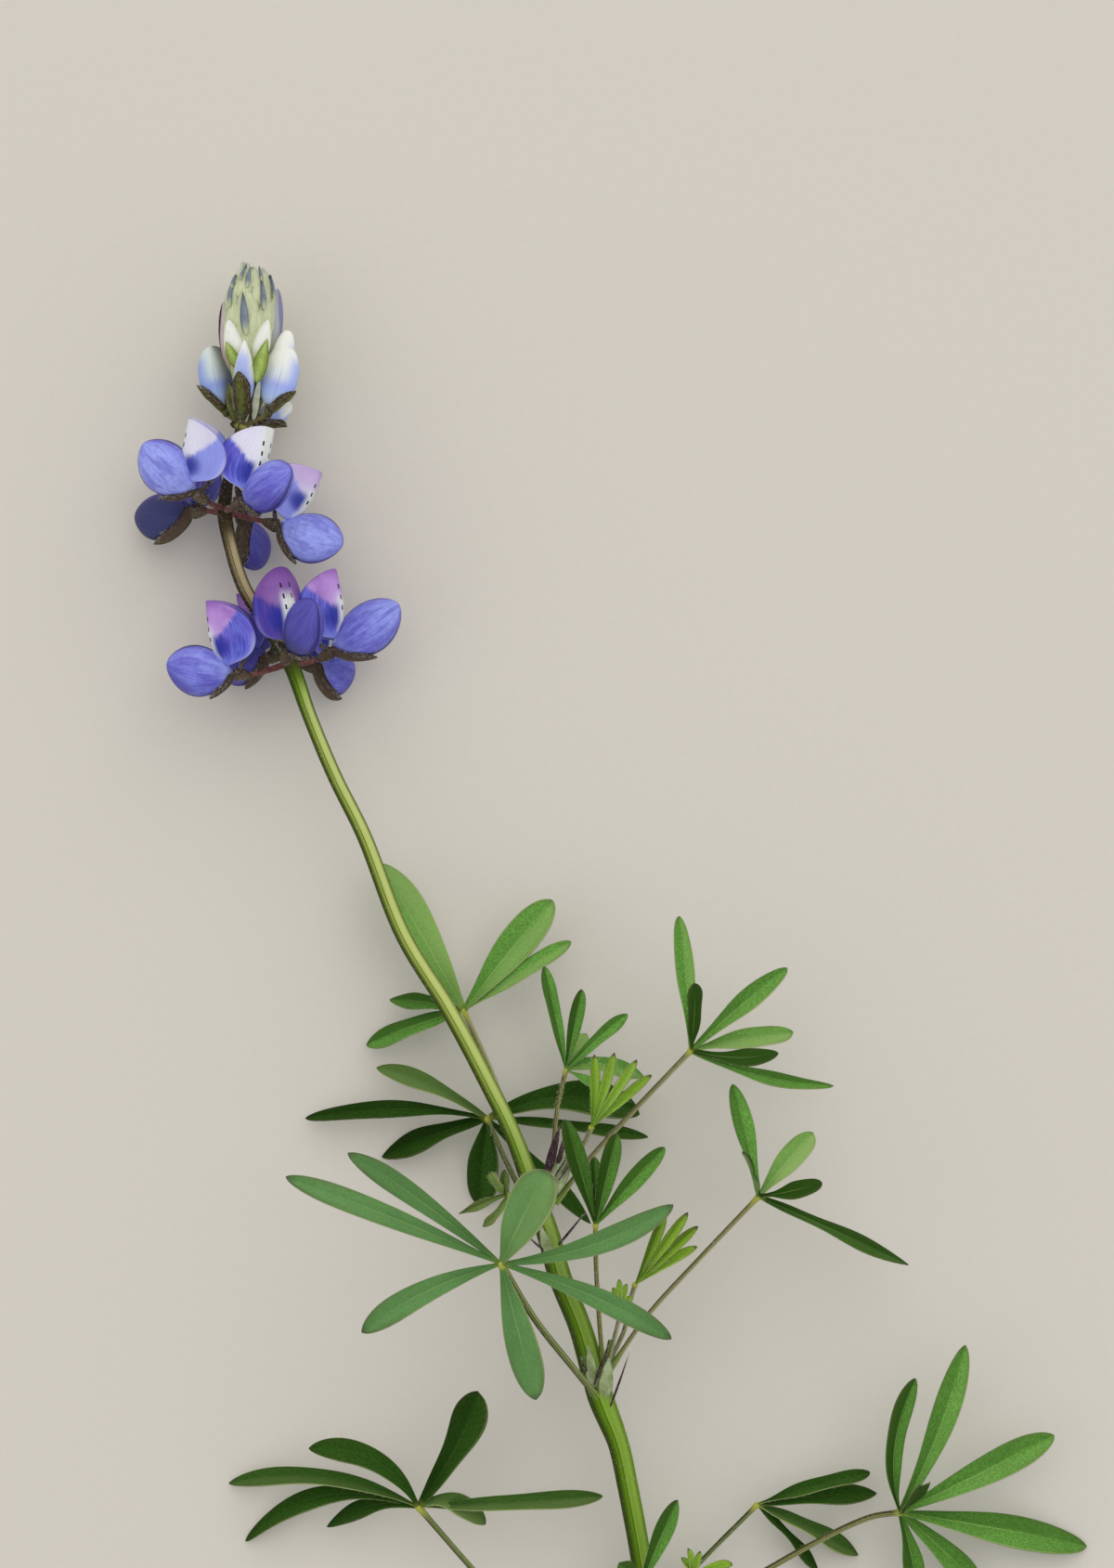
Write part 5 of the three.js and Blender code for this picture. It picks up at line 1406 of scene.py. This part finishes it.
def make_stem():
    """The stem as a ribbed tube along its way, with its slanted cut, its collar under the
    buds, its side shoot, the sheaths and stipules at the leaves, and short hairs."""
    shape = Shape("stem_fine", 11)
    size = sizes()
    skin = material("stem_skin", stem_finish)
    path, radii = stations(STEM_WAY, STEM_ROWS)
    rings = tube(path, radii, STEM_SIDES, STEM_RIBS, STEM_RIB_DEPTH)
    tangent, _, upright = frames(path)
    centre = rings[0].mean(axis=0)
    rings[0] += ((rings[0] - centre) @ upright[0])[:, None] * tangent[0] * STEM_SLANT
    cut = centre + (rings[0] - centre) * 0.9
    rings = np.concatenate([cut[None], rings])
    turn = np.arange(STEM_SIDES) / STEM_SIDES
    along = np.concatenate([[-1.0], np.linspace(0, 1, STEM_ROWS)])
    paint = painted(2 * turn - 1, along[:, None], np.cos(STEM_RIBS * 2 * np.pi * turn))
    shape.add_hairy(rings, paint, skin, size.stem_hairs, (0.02, 0.99), size.stem_hair, 0.5, lift=1.4)
    turn = np.linspace(0.2, np.pi - 0.2, 12)
    collar_path = path[-1] + tangent[-1] * (-np.cos(turn) * 0.55 * MM - 0.75 * MM)[:, None]
    collar = tube(collar_path, (0.7 + 0.85 * np.sin(turn)) * MM, 30, 5, 0.1)
    shape.add(collar, lengthwise(collar, 1.0), skin)
    shoot = tube(*stations(SIDE_SHOOT, 24), 20, 6, 0.06)
    shape.add_hairy(shoot, lengthwise(shoot, SHOOT_TONE), skin, 260, (0.1, 0.98), size.silk, 0.3)
    sheath = material("sheath_skin", plain_finish, hue("sheath"), hue("sheath_light"), 500)
    dark = material("stipule_skin", plain_finish, scaled(colours().dark, 0.6),
                    hue("stipule_light"), 900)
    for root, tip, width in SHEATHS:
        shape.add_hairy(*blade(spot(root), spot(tip), width * MM), sheath,
                        230, (0.05, 0.98), size.silk, 0.22)
    for root, tip, width in STIPULES:
        shape.add_hairy(*blade(spot(root), spot(tip), width * MM, thickness=0.22 * MM), dark,
                        70, (0.05, 0.95), size.silk * 0.8, 0.3)
    shape.finish("stem", "stem")


def ball(centre, axis, radius):
    """Rings of a ball: places along its axis go by the cosine of an angle, radii by its sine."""
    turn = np.linspace(0, np.pi, 12)
    path = centre + axis * (radius * -np.cos(turn))[:, None]
    radii = np.maximum(np.sin(turn), 0.05) * radius
    flat = unit(np.cross(axis, [0.3, 0.9, 0.1]))
    return path[:, None] + wheel(flat, np.cross(axis, flat), 14) * radii[:, None, None]


def make_leaf(name, kind, face, stalk_radius, stalk, leaflets, seed):
    """One leaf: a hairy stalk, a yellow knuckle and leaflets that spread from it."""
    shape = Shape(name + "_fine", seed)
    size = sizes()
    style = LEAF_STYLES[kind]
    face = unit(np.array(face, float))
    skin = material("leaf_" + kind, leaf_finish, getattr(colours(), kind), style["rib"],
                    style["gloss"], style["patchy"])
    code = STALK_COLOURS.get(name, STALK_COLOURS[kind])
    stalk_skin = material("stalk_" + code, stalk_finish, srgb(code))
    points = spot(stalk)
    along = np.linspace(0, 1, 20 + 14 * len(stalk))
    radius = stalk_radius * MM
    radii = radius * (0.86 + 0.3 * np.exp(-along / 0.03) + 0.45 * smooth(along, 0.85, 1.0))
    rings = tube(curve_through(points, along), radii, 16, 5, 0.05)
    shape.add_hairy(rings, lengthwise(rings, along), stalk_skin,
                    STALK_HAIRS * len(stalk), (0.03, 0.97), size.leaf_hair, 0.4, lift=1.2)
    knuckle = ball(points[0], face, radius * KNUCKLE)
    shape.add(knuckle, painted(0.0, 0.0), stalk_skin)
    fold = size.young_fold if kind == "young" else size.fold
    for tip, width, arch, tone in leaflets:
        add_leaflet(shape, points[0], face, spot(tip), width, arch, tone, fold, skin, style)
    shape.finish(LEAF_SLOTS.get(kind, "leaf"), name)


# Ways and lengths of a flower: forward along the wings, the banner's midline, sideways, up
# across the wings, the way that the banner's halves lie back, and how long both are
FlowerAxes = namedtuple("FlowerAxes", "forward midline sideways up backward wing_length banner_length")


def flower_axes(mouth, wings, banner):
    """Axes of a flower from its mouth, the tip of its wings and the top of its banner."""
    forward, midline = unit(wings - mouth), unit(banner - mouth)
    sideways = unit(np.cross(forward, midline))
    return FlowerAxes(forward, midline, sideways, unit(np.cross(sideways, forward)),
                      unit(np.cross(sideways, midline)), np.linalg.norm(wings - mouth),
                      np.linalg.norm(banner - mouth))


def wing_outline(along):
    """Height of the wings as a share of their greatest: a root of a sine that leans to the
    outer end."""
    return np.maximum(np.sin(np.pi * np.clip(along, 0, 1) ** 1.1), 0) ** 0.55


def add_wings(shape, mouth, axes, age, tone, rise, run):
    """A pair of wings: each is a thin shell whose bulge from the middle plane follows a root
    of one minus the square of the height, with small pleats near the claw. A plain spindle
    between them is the keel."""
    skin = material("wing_petal", wing_finish)
    along = (1 - np.cos(np.linspace(0.16, np.pi, 30))) / 2
    across, face = band_of(spread(17, 0.85))
    outline = np.maximum(wing_outline(along), 0.2 * (1 - smooth(along, 0.0, 0.2)))
    high = WING_HEIGHT / 2 * outline[:, None] * np.where(across < 0, WING_LOWER_SHARE, 1.0)
    width = np.maximum(np.sin(np.pi * along ** 1.05), 0.02) ** 0.6
    bulge = WING_THICKNESS / 2 * width[:, None] * np.maximum(1 - np.abs(across) ** 2.2, 0) ** 0.62
    pleat = PLEAT * np.sin(across * 15) * np.exp(-along / 0.22)[:, None] * (1 - across ** 2)
    inner = np.where(face < 0, sizes().petal * thinning(across, 0.35), 0.0)
    droop = WING_DROOP * (along ** 2)[:, None]
    line = mouth + axes.forward * (WING_START + axes.wing_length * along)[:, None]
    # Painted light and shade: the tone slopes by rise from the lower to the upper edge, and by run from
    # the claw to the outer end
    lit = tone + rise * across + run * (along[:, None] - 0.5)
    for side in (1.0, -1.0):
        lateral = side * (WING_GAP + bulge + pleat - inner)
        rings = rings_along(line, (axes.up, high * across + droop), (axes.sideways, lateral))
        own = age + 0.3 * side + 0.37 * tone
        under = (face < 0).astype(float)
        shape.add(rings, painted(across, along[:, None], np.abs(across), under, lit, own), skin)
    keel_skin = material("keel_petal", plain_finish, colours().claw, hue("keel_light"), 500)
    line = mouth + axes.forward * (axes.wing_length * np.linspace(0.04, 0.82, 14))[:, None]
    radii = np.maximum(np.sin(np.linspace(0.25, np.pi, 14)), 0.05)
    around = wheel(axes.up * KEEL_HEIGHT / 2, axes.sideways * KEEL_WIDTH / 2, 10)
    shape.add(line[:, None] + around * radii[:, None, None], painted(0.0, 0.5), keel_skin)


def banner_outline(along):
    """Half width of a banner as a share: a claw, then a rounded field that narrows upward."""
    body = np.clip((along - 0.08) / 0.92, 0, 1)
    power = 3.2 - 1.2 * body
    field = np.maximum(1 - np.abs(2 * body - 1) ** power, 0) ** (1 / power) * (1 - 0.3 * body ** 2.4)
    return np.maximum(field, 0.14 * (1 - smooth(along, 0.1, 0.4))) + 0.012


def add_banner(shape, mouth, axes, lie, narrow, blush, tone):
    """The banner: a claw that opens into a round sheet. From its midline each half turns from
    sideways to its lie by an integral of a soft bend, and its rim curls out a little."""
    lie = np.radians(lie)
    along = 1 - (1 - np.linspace(0.0, 1, 40)) ** 1.3
    across, face = band_of(spread(33, 1.0))
    half = BANNER_HALF * narrow * banner_outline(along)
    bulge = BANNER_BULGE * np.interp(along, BULGE_PLACES, BULGE_SHARES)
    reach = np.abs(across) * half[:, None]
    steps = np.linspace(0, BANNER_HALF * 1.1, 160)
    angle = lie + (np.pi / 2 - lie) * np.exp(-(steps / BANNER_BEND) ** 2)
    angle = angle + BANNER_CURL * (steps / BANNER_HALF) ** 2
    out = np.interp(reach, steps, np.cumsum(np.sin(angle)) * steps[1])
    back = np.interp(reach, steps, np.cumsum(np.cos(angle)) * steps[1])
    rim_wave = RIM_WAVE * np.sin(9 * along[:, None] + 3 * np.sign(across)) * np.abs(across) ** 3
    groove = GROOVE * np.exp(-(reach / GROOVE_WIDTH) ** 2)
    depth = back - bulge[:, None] * (1 - reach / BANNER_HALF) + rim_wave + groove
    start = mouth + axes.forward * BANNER_START + axes.midline * BANNER_FOOT
    line = start + axes.midline * ((axes.banner_length - BANNER_FOOT) * along)[:, None]
    rings = rings_along(line, (axes.sideways, np.sign(across) * out), (axes.backward, depth))
    turned = axes.sideways * (np.sign(across) * np.cos(lie))[..., None]
    toward = unit(axes.backward * np.sin(lie) - turned)
    share = smooth(reach, 0.2 * MM, 1.4 * MM)[..., None]
    normal = unit(axes.backward * (1 - share) + toward * share)
    rings = rings - normal * (face * sizes().petal * thinning(across, 0.35) / 2)[..., None]
    signed = np.sign(across) * reach / BANNER_HALF
    under = (face < 0).astype(float)
    paint = painted(signed, along[:, None], np.abs(across), under, tone, blush)
    shape.add(rings, paint, banner_skin(blush))


def add_lip(shape, start, way, sideways, away, length, width, edge, skin, hairs, hollow=0.5):
    """A pointed boat-shaped lip: its middle keeps the distance edge from the line, and its
    sides bend back round the petals."""
    along = np.linspace(0, 1, 24)
    gone = length * along
    line = start + way * gone[:, None] + away * edge(gone)[:, None]
    tangent = unit(np.gradient(line, axis=0))
    out = unit(away - tangent * (tangent @ away)[:, None])
    across, face = band_of(spread(11, 1.0))
    half = width / 2 * np.maximum(np.minimum(1.35 * (1 - along ** 2.4) ** 0.7, 1.0), 0.04)[:, None]
    rise = face * sizes().lip * thinning(across, 0.3) / 2 - hollow * half * across ** 2
    rings = rings_along(line, (sideways, half * across), (out, rise))
    sign = shape.add(rings, painted(across, along[:, None], np.abs(across)), skin)[0]
    silk = sizes().silk
    for columns in ((0.43, 0.57), (0.93, 1.07)):
        shape.bristle(rings, sign, hairs * 2 // 5, (0.02, 0.97), silk, 0.25, columns, 0.8)
    shape.bristle(rings, sign, hairs // 5, (0.02, 0.97), silk * 0.8, 0.2, lift=0.3)


def add_stalklet(shape, places, skin, swell):
    """A stalklet that runs on to the stem and swells towards it."""
    along = np.linspace(0, 1, 24)
    path = curve_through(np.array(places), along)
    rings = tube(path, PEDICEL * (0.92 + swell * smooth(along, 0.3, 1)), 14, 4, 0.05)
    shape.add_hairy(rings, lengthwise(rings, along), skin,
                    60, (0.02, 0.9), sizes().silk * 0.5, 0.4, lift=1.2)


def add_cup(shape, foot, mouth, forward, radius, skin, hairs):
    """The cup of the calyx: a radius that swells from the stalklet by a power to its rim."""
    along = np.linspace(0, 1, 16)
    path = foot + (mouth - foot) * along[:, None]
    side = unit(np.cross(forward, UP + 0.1))
    root = PEDICEL * 0.9
    radii = (root + (radius - root) * along ** 0.6) * (1 - 0.25 * smooth(along, 0.9, 1.0))
    swell = 1 + 0.04 * np.cos(5 * np.arange(24) * 2 * np.pi / 24)
    around = wheel(side, np.cross(side, forward), 24)
    rings = path[:, None] + around * (radii[:, None] * swell)[..., None]
    shape.add_hairy(rings, lengthwise(rings, along), skin, hairs, (0.05, 0.98), sizes().silk * 0.7)


def make_flower(name, mouth, wings, banner, stem_place, lie, narrow, tone, blush, lip, rise, run, seed):
    """One open flower: its petals as one piece, and its calyx with the stalklet as another."""
    older = name.startswith("lower")
    mouth, stem_point = spot(mouth), spot(stem_place)
    axes = flower_axes(mouth, spot(wings), spot(banner))
    petals = Shape(name + "_petals_fine", seed)
    add_wings(petals, mouth, axes, float(older), tone, rise, run)
    add_banner(petals, mouth, axes, lie, narrow, blush, tone)
    petals.finish("older_petals" if older else "petals", name + "_petals")
    calyx = Shape(name + "_calyx_fine", seed + 1)
    paint = colours()
    skin = material("calyx_skin", calyx_finish, paint.calyx, hue("calyx_heart"), 0.25)
    red = material("pedicel_skin", plain_finish, scaled(paint.pedicel, 0.6),
                   blended(paint.pedicel, hue("pedicel_light"), 0.3), 900)
    foot = mouth - axes.forward * CUP_DEPTH
    add_cup(calyx, foot, mouth - axes.forward * 0.1 * MM, axes.forward, CUP_RADIUS, skin, 50)
    stalklet = [foot + axes.forward * CUP_DEPTH / 4, foot + (stem_point - foot) * 0.25, stem_point]
    add_stalklet(calyx, stalklet, red, 0.3)

    def wing_side(gone):
        """Distance of the lower lip from the wings' middle: out over the cup, then along them."""
        share = wing_outline(np.maximum(gone - LIP_ROOT, 0) / axes.wing_length)
        petals_out = WING_HEIGHT / 2 * WING_LOWER_SHARE * share + LIP_CLEAR
        return np.minimum(petals_out, CUP_RADIUS * 0.7 + gone * LIP_FLARE)

    root = mouth - axes.forward * LIP_ROOT
    add_lip(calyx, root, axes.forward, axes.sideways, -axes.up, lip * MM, LOWER_LIP_WIDTH, wing_side,
            skin, 190, hollow=0.75)
    add_lip(calyx, root + axes.up * CUP_RADIUS * 0.4, unit(axes.midline + axes.backward * 0.9),
            axes.sideways, axes.backward, UPPER_LIP, UPPER_LIP_WIDTH, np.zeros_like, skin, 70)
    calyx.finish("calyx", name + "_calyx")


def bud_outline(along, roundness):
    """Height of a closed bud as a share of its greatest: a sine that leans to the foot, raised
    to a small power for a round end and a large one for a pointed end."""
    return np.maximum(np.sin(np.pi * np.clip(along, 0, 1) ** (1.1 - 0.4 * roundness)), 0) ** roundness


def pouch(foot, tip, up, sideways, height, thickness, tone, roundness, shadow=0.0):
    """Rings and painted values of a closed bud: ellipses across a line, whose height and
    thickness follow the outline, with a shallow crease along each flank where the petals
    overlap."""
    along = (1 - np.cos(np.linspace(0.1, np.pi, 28))) / 2
    path = foot + (tip - foot) * along[:, None]
    share = np.maximum(bud_outline(along, roundness), 0.05)[:, None]
    angle = np.arange(24) * 2 * np.pi / 24
    crease = 1 - 0.08 * np.exp(-((np.cos(angle) - CREASE_PLACE) / 0.12) ** 2)
    rings = rings_along(path, (up, np.cos(angle) * height / 2 * share),
                        (sideways, np.sin(angle) * crease * thickness / 2 * share))
    return rings, painted(np.cos(angle), along[:, None], 0.0, 0.0, tone, shadow)


def make_bud(name, foot, tip, lip, height, thickness, roundness, crest, shadow, seed):
    """One closed bud: petals as one piece, calyx with its lip and stalklet as another."""
    paint = colours()
    base, end, lip_tip, stem_point = spot(foot), spot(tip), spot(lip), spot(BUD_NODE)
    forward = unit(end - base)
    sideways = unit(np.cross(forward, lip_tip - base))
    up = unit(np.cross(sideways, forward))
    length = np.linalg.norm(end - base)
    petals = Shape(name + "_petals_fine", seed)
    skin = material("bud_petal", bud_finish, blended(paint.bud_blue, paint.bud_white, 0.3),
                    paint.bud_blue, paint.bud_white)
    tone = petals.random.uniform(0, 9)
    body = pouch(base, end, up, sideways, height * MM, thickness * MM, tone, roundness, shadow)
    petals.add(*body, skin)
    if crest:
        pale = material("bud_crest", bud_finish, paint.bud_blue, paint.bud_white, paint.bud_white)
        body = pouch(base, spot(crest), up, sideways, CREST_HEIGHT, CREST_THICKNESS, tone, 0.4)
        petals.add(*body, pale)
    petals.finish("bud_petals", name + "_petals")
    calyx = Shape(name + "_calyx_fine", seed + 1)
    skin = material("bud_calyx_skin", calyx_finish, hue("bud_calyx"), hue("bud_calyx_heart"), 0.6)
    brown = material("bud_stalk", plain_finish, hue("bud_stalk"), hue("bud_stalk_light"), 900)
    cup_foot = base - forward * BUD_CUP_DEPTH
    add_cup(calyx, cup_foot, base + forward * 0.3 * MM, forward, BUD_CUP_RADIUS, skin, 160)
    stalklet = [cup_foot + forward * BUD_CUP_DEPTH / 4, (cup_foot + stem_point) / 2, stem_point]
    add_stalklet(calyx, stalklet, brown, 0.9)
    lip_length = (lip_tip - base) @ forward + LIP_ROOT
    lip_out = (lip_tip - base) @ up

    def petal_side(gone):
        """Distance of the lip from the bud's middle: towards its own tip, but clear of the petals."""
        share = bud_outline(np.maximum(gone - LIP_ROOT, 0) / length, roundness)
        straight = LIP_START + (lip_out - LIP_START) * np.clip(gone / lip_length, 0, 1) ** 0.8
        petals_out = height * MM / 2 * share * smooth(gone, LIP_ROOT, 3 * LIP_ROOT)
        return larger(straight, petals_out, 0.3 * MM)

    add_lip(calyx, base - forward * LIP_ROOT, forward, sideways, up, lip_length, BUD_LIP_WIDTH,
            petal_side, skin, 260, hollow=0.7)
    calyx.finish("calyx", name + "_calyx")


def cone_radius(place):
    """Radius of the tip's core at a share of its height."""
    return np.interp(place, np.linspace(0, 1, len(CONE_RADII)), CONE_RADII) * MM


def add_scales(shape, foot, tip, side, upright):
    """Silky scales over the core in a spiral of the golden angle: each starts at its share of
    the height, bulges from the core by a sine and wraps round it by a parabola."""
    skin = material("scale_skin", scale_finish)
    axis = unit(tip - foot)
    along = np.linspace(0, 1, 18)
    across, face = band_of(spread(11, 1.0))
    thick = SCALE_THICKNESS * thinning(across, 0.3)
    for i in range(SCALE_COUNT):
        share = i / (SCALE_COUNT - 1)
        place = 0.18 + 0.68 * share
        angle = i * GOLDEN_ANGLE
        outward = side * np.cos(angle) + upright * np.sin(angle)
        length = (10.0 - 4.0 * share) * MM / np.linalg.norm(tip - foot)
        end = min(place + length, 1.0 + 0.03 * np.sin(7 * angle))
        route = place + (end - place) * along
        bulge = 0.86 + 0.24 * np.sin(np.pi * along) ** 0.7
        radius = cone_radius(np.minimum(route, 1.0)) * bulge + 0.1 * MM
        line = foot + (tip - foot) * route[:, None] + outward * radius[:, None]
        half = (2.5 - 0.9 * share) * MM * blade_outline(along, 0.05)[:, None]
        wrap = half ** 2 * across ** 2 / (2 * np.maximum(radius, 1.2 * MM)[:, None])
        rings = rings_along(line, (np.cross(axis, outward), half * across),
                            (outward, face * thick / 2 - wrap))
        paint = painted(across, along[:, None], np.abs(across), 0.0, 3.0 * share)
        shape.add_hairy(rings, paint, skin, 115, (0.1, 0.98), sizes().silk * 1.1, 0.16, lift=0.28)


def add_slivers(shape, foot, tip, side, upright):
    """Slim closed petals that show between the scales: both ends lie just over the round core,
    at the height that its circle has there."""
    skin = material("sliver_petal", sliver_finish)
    height = np.linalg.norm(tip - foot)
    axis = unit(tip - foot)
    for low, high, width in SLIVERS:
        ends = []
        for right, down in (low, high):
            offset = spot((right, down, SLIVER_HEIGHT)) - foot
            place = (offset @ axis) / height
            off = offset @ side
            rise = np.sqrt(max((float(cone_radius(place)) * 1.2) ** 2 - off ** 2, (0.8 * MM) ** 2))
            ends.append(foot + axis * place * height + side * off + upright * (rise + 0.25 * MM))
        outward = unit(ends[0] - foot - axis * ((ends[0] - foot) @ axis))
        shape.add_hairy(*blade(*ends, width * MM, 0.3 * MM, 0.5 * MM, outward), skin,
                        30, (0.1, 0.9), sizes().silk * 0.7, 0.25, lift=0.4)


def side_bud_looks():
    """Colours of the small side buds, at the foot, inside and on the outer edge, and how far
    the edge reaches in."""
    paint = colours()
    return {
        "white": (hue("side_bud_foot"), paint.bud_white,
                  blended(paint.scale, paint.bud_white, 0.3), 0.15),
        "left": (hue("left_bud_foot"), hue("left_bud"), hue("left_bud_edge"), 0.3),
        "right": (hue("right_bud_foot"), hue("right_bud"), hue("right_bud_edge"), 0.4),
    }


def make_cone():
    """The tip of the spike: a core, silky scales laid over it in a spiral, slim closed petals
    that show between them, strands at its foot, small side buds with lips, and silver hairs."""
    shape = Shape("bud_cone_fine", 71)
    silk = sizes().silk
    foot, tip = spot(CONE_FOOT), spot(CONE_TIP)
    side = unit(np.cross(tip - foot, UP))
    upright = unit(np.cross(side, tip - foot))
    core_skin = material("tip_core", plain_finish, hue("tip_core"), hue("tip_core_light"), 600)
    places = np.linspace(0, 1, 26)
    radii = cone_radius(places) * (0.95 - 0.75 * smooth(places, 0.8, 1.0))
    core = tube(foot + (tip - foot) * places[:, None], radii, 28)
    shape.add(core, lengthwise(core, places), core_skin)
    add_scales(shape, foot, tip, side, upright)
    add_slivers(shape, foot, tip, side, upright)
    pale = material("pale_strand", plain_finish, hue("strand"), hue("strand_light"), 900)
    # The dark strands are partly painted shade among the buds at the foot
    for low, high, width, kind in STRANDS:
        skin = pale if kind == "pale" else core_skin
        shape.add_hairy(*blade(spot(low), spot(high), width * MM, 0.3 * MM), skin,
                        40, (0.1, 0.9), silk * 0.7, 0.3, lift=0.5)
    looks = side_bud_looks()
    for low, high, width, kind in SIDE_BUDS:
        skin = material("side_bud_" + kind, side_bud_finish, *looks[kind])
        base, end = spot(low), spot(high)
        way = unit(end - base)
        flat = unit(np.cross(way, UP)) * (-1 if (base - foot) @ side < 0 else 1)
        bud = pouch(base, end, flat, np.cross(flat, way), width * MM, SIDE_BUD_THICKNESS, 0.5, 0.6)
        shape.add_hairy(*bud, skin, 130, (0.1, 0.95), silk * 0.8, 0.25, lift=0.5)
    green = material("side_lip", calyx_finish, hue("side_lip_edge"), hue("side_lip_heart"), 0.3)
    for low, high, width in SIDE_LIPS:
        shape.add_hairy(*blade(spot(low), spot(high), width * MM, 0.5 * MM, 0.35 * MM), green,
                        90, (0.05, 0.95), silk * 0.7, 0.25, lift=0.5)
    shape.finish("young_buds", "bud_cone")


class LupinStem(bpy.types.Operator):
    """Make the stem with its sheaths, stipules and hairs"""

    bl_idname = "lupin.stem"
    bl_label = "Stem"

    def execute(self, context):
        make_stem()
        return {"FINISHED"}


class LupinLeaves(bpy.types.Operator):
    """Make every leaf with its stalk and leaflets"""

    bl_idname = "lupin.leaves"
    bl_label = "Leaves"

    def execute(self, context):
        for seed, leaf in enumerate(LEAVES):
            make_leaf(*leaf, 100 + seed)
        return {"FINISHED"}


class LupinFlowers(bpy.types.Operator):
    """Make the open flowers of both whorls"""

    bl_idname = "lupin.flowers"
    bl_label = "Flowers"

    def execute(self, context):
        for seed, flower in enumerate(FLOWERS):
            make_flower(*flower, 200 + 2 * seed)
        return {"FINISHED"}


class LupinBuds(bpy.types.Operator):
    """Make the closed buds under the tip and the tip itself"""

    bl_idname = "lupin.buds"
    bl_label = "Buds and tip"

    def execute(self, context):
        for seed, bud in enumerate(BUDS):
            make_bud(*bud, 300 + 2 * seed)
        make_cone()
        return {"FINISHED"}


def soft_light(name, place, size, watts, colour):
    """A square area light that faces the sprig."""
    light = bpy.data.lights.new(name, "AREA")
    light.size = size
    light.energy = watts
    light.color = colour
    lamp = bpy.data.objects.new(name, light)
    lamp.location = place
    x, y, z = place
    lamp.rotation_euler = (np.arctan2(np.hypot(x, y), z), 0.0, np.arctan2(x, -y))
    bpy.context.scene.collection.objects.link(lamp)


class LupinStage(bpy.types.Operator):
    """Make the pale table, the soft lights and the camera above"""

    bl_idname = "lupin.stage"
    bl_label = "Stage"

    def execute(self, context):
        scene = context.scene
        corners = [(x * TABLE_REACH, y * TABLE_REACH, TABLE_LEVEL)
                   for x, y in ((-1, -1), (1, -1), (1, 1), (-1, 1))]
        mesh = bpy.data.meshes.new("table")
        mesh.from_pydata(corners, [], [(0, 1, 2, 3)])
        mesh.materials.append(material("pale_table", table_finish))
        table = bpy.data.objects.new("table", mesh)
        scene.collection.objects.link(table)
        world = bpy.data.worlds.new("studio")
        world.use_nodes = True
        sky = world.node_tree.nodes["Background"]
        sky.inputs["Color"].default_value = SKY_COLOUR
        sky.inputs["Strength"].default_value = SKY_STRENGTH
        scene.world = world
        for light in LIGHTS:
            soft_light(*light)
        scene.view_settings.view_transform = "Standard"
        lens = bpy.data.cameras.new("camera")
        lens.sensor_width = SENSOR
        lens.lens = SENSOR * (EYE - TRUE_HEIGHT) / (SHEET_TALL * STEP)
        lens.clip_start = NEAREST
        camera = bpy.data.objects.new("camera", lens)
        camera.location = (-BOX_MIDDLE[0], -BOX_MIDDLE[1], EYE)
        scene.collection.objects.link(camera)
        scene.camera = camera
        return {"FINISHED"}


class LupinPanel(bpy.types.Panel):
    """Lists the operators, sizes and colours"""

    bl_idname = "VIEW3D_PT_lupin"
    bl_label = "Lupin sprig"
    bl_space_type = "VIEW_3D"
    bl_region_type = "UI"
    bl_category = "Lupin"

    def draw(self, context):
        for operator in (LupinStem, LupinLeaves, LupinFlowers, LupinBuds, LupinStage):
            self.layout.operator(operator.bl_idname)
        for group in (context.scene.lupin_sizes, context.scene.lupin_colours):
            for name in group.bl_rna.properties.keys():
                if name not in ("rna_type", "name"):
                    self.layout.prop(group, name)


CLASSES = (LupinSizes, LupinColours, LupinStem, LupinLeaves, LupinFlowers, LupinBuds,
           LupinStage, LupinPanel)


def register():
    """Registers the classes and hangs the sizes and colours on the scene."""
    for item in CLASSES:
        bpy.utils.register_class(item)
    bpy.types.Scene.lupin_sizes = PointerProperty(type=LupinSizes)
    bpy.types.Scene.lupin_colours = PointerProperty(type=LupinColours)


def unregister():
    """Takes back what register did."""
    del bpy.types.Scene.lupin_sizes
    del bpy.types.Scene.lupin_colours
    for item in reversed(CLASSES):
        bpy.utils.unregister_class(item)


def main():
    """Makes the stage and every piece."""
    register()
    bpy.ops.lupin.stage()
    bpy.ops.lupin.stem()
    bpy.ops.lupin.leaves()
    bpy.ops.lupin.flowers()
    bpy.ops.lupin.buds()


if __name__ == "__main__":
    main()
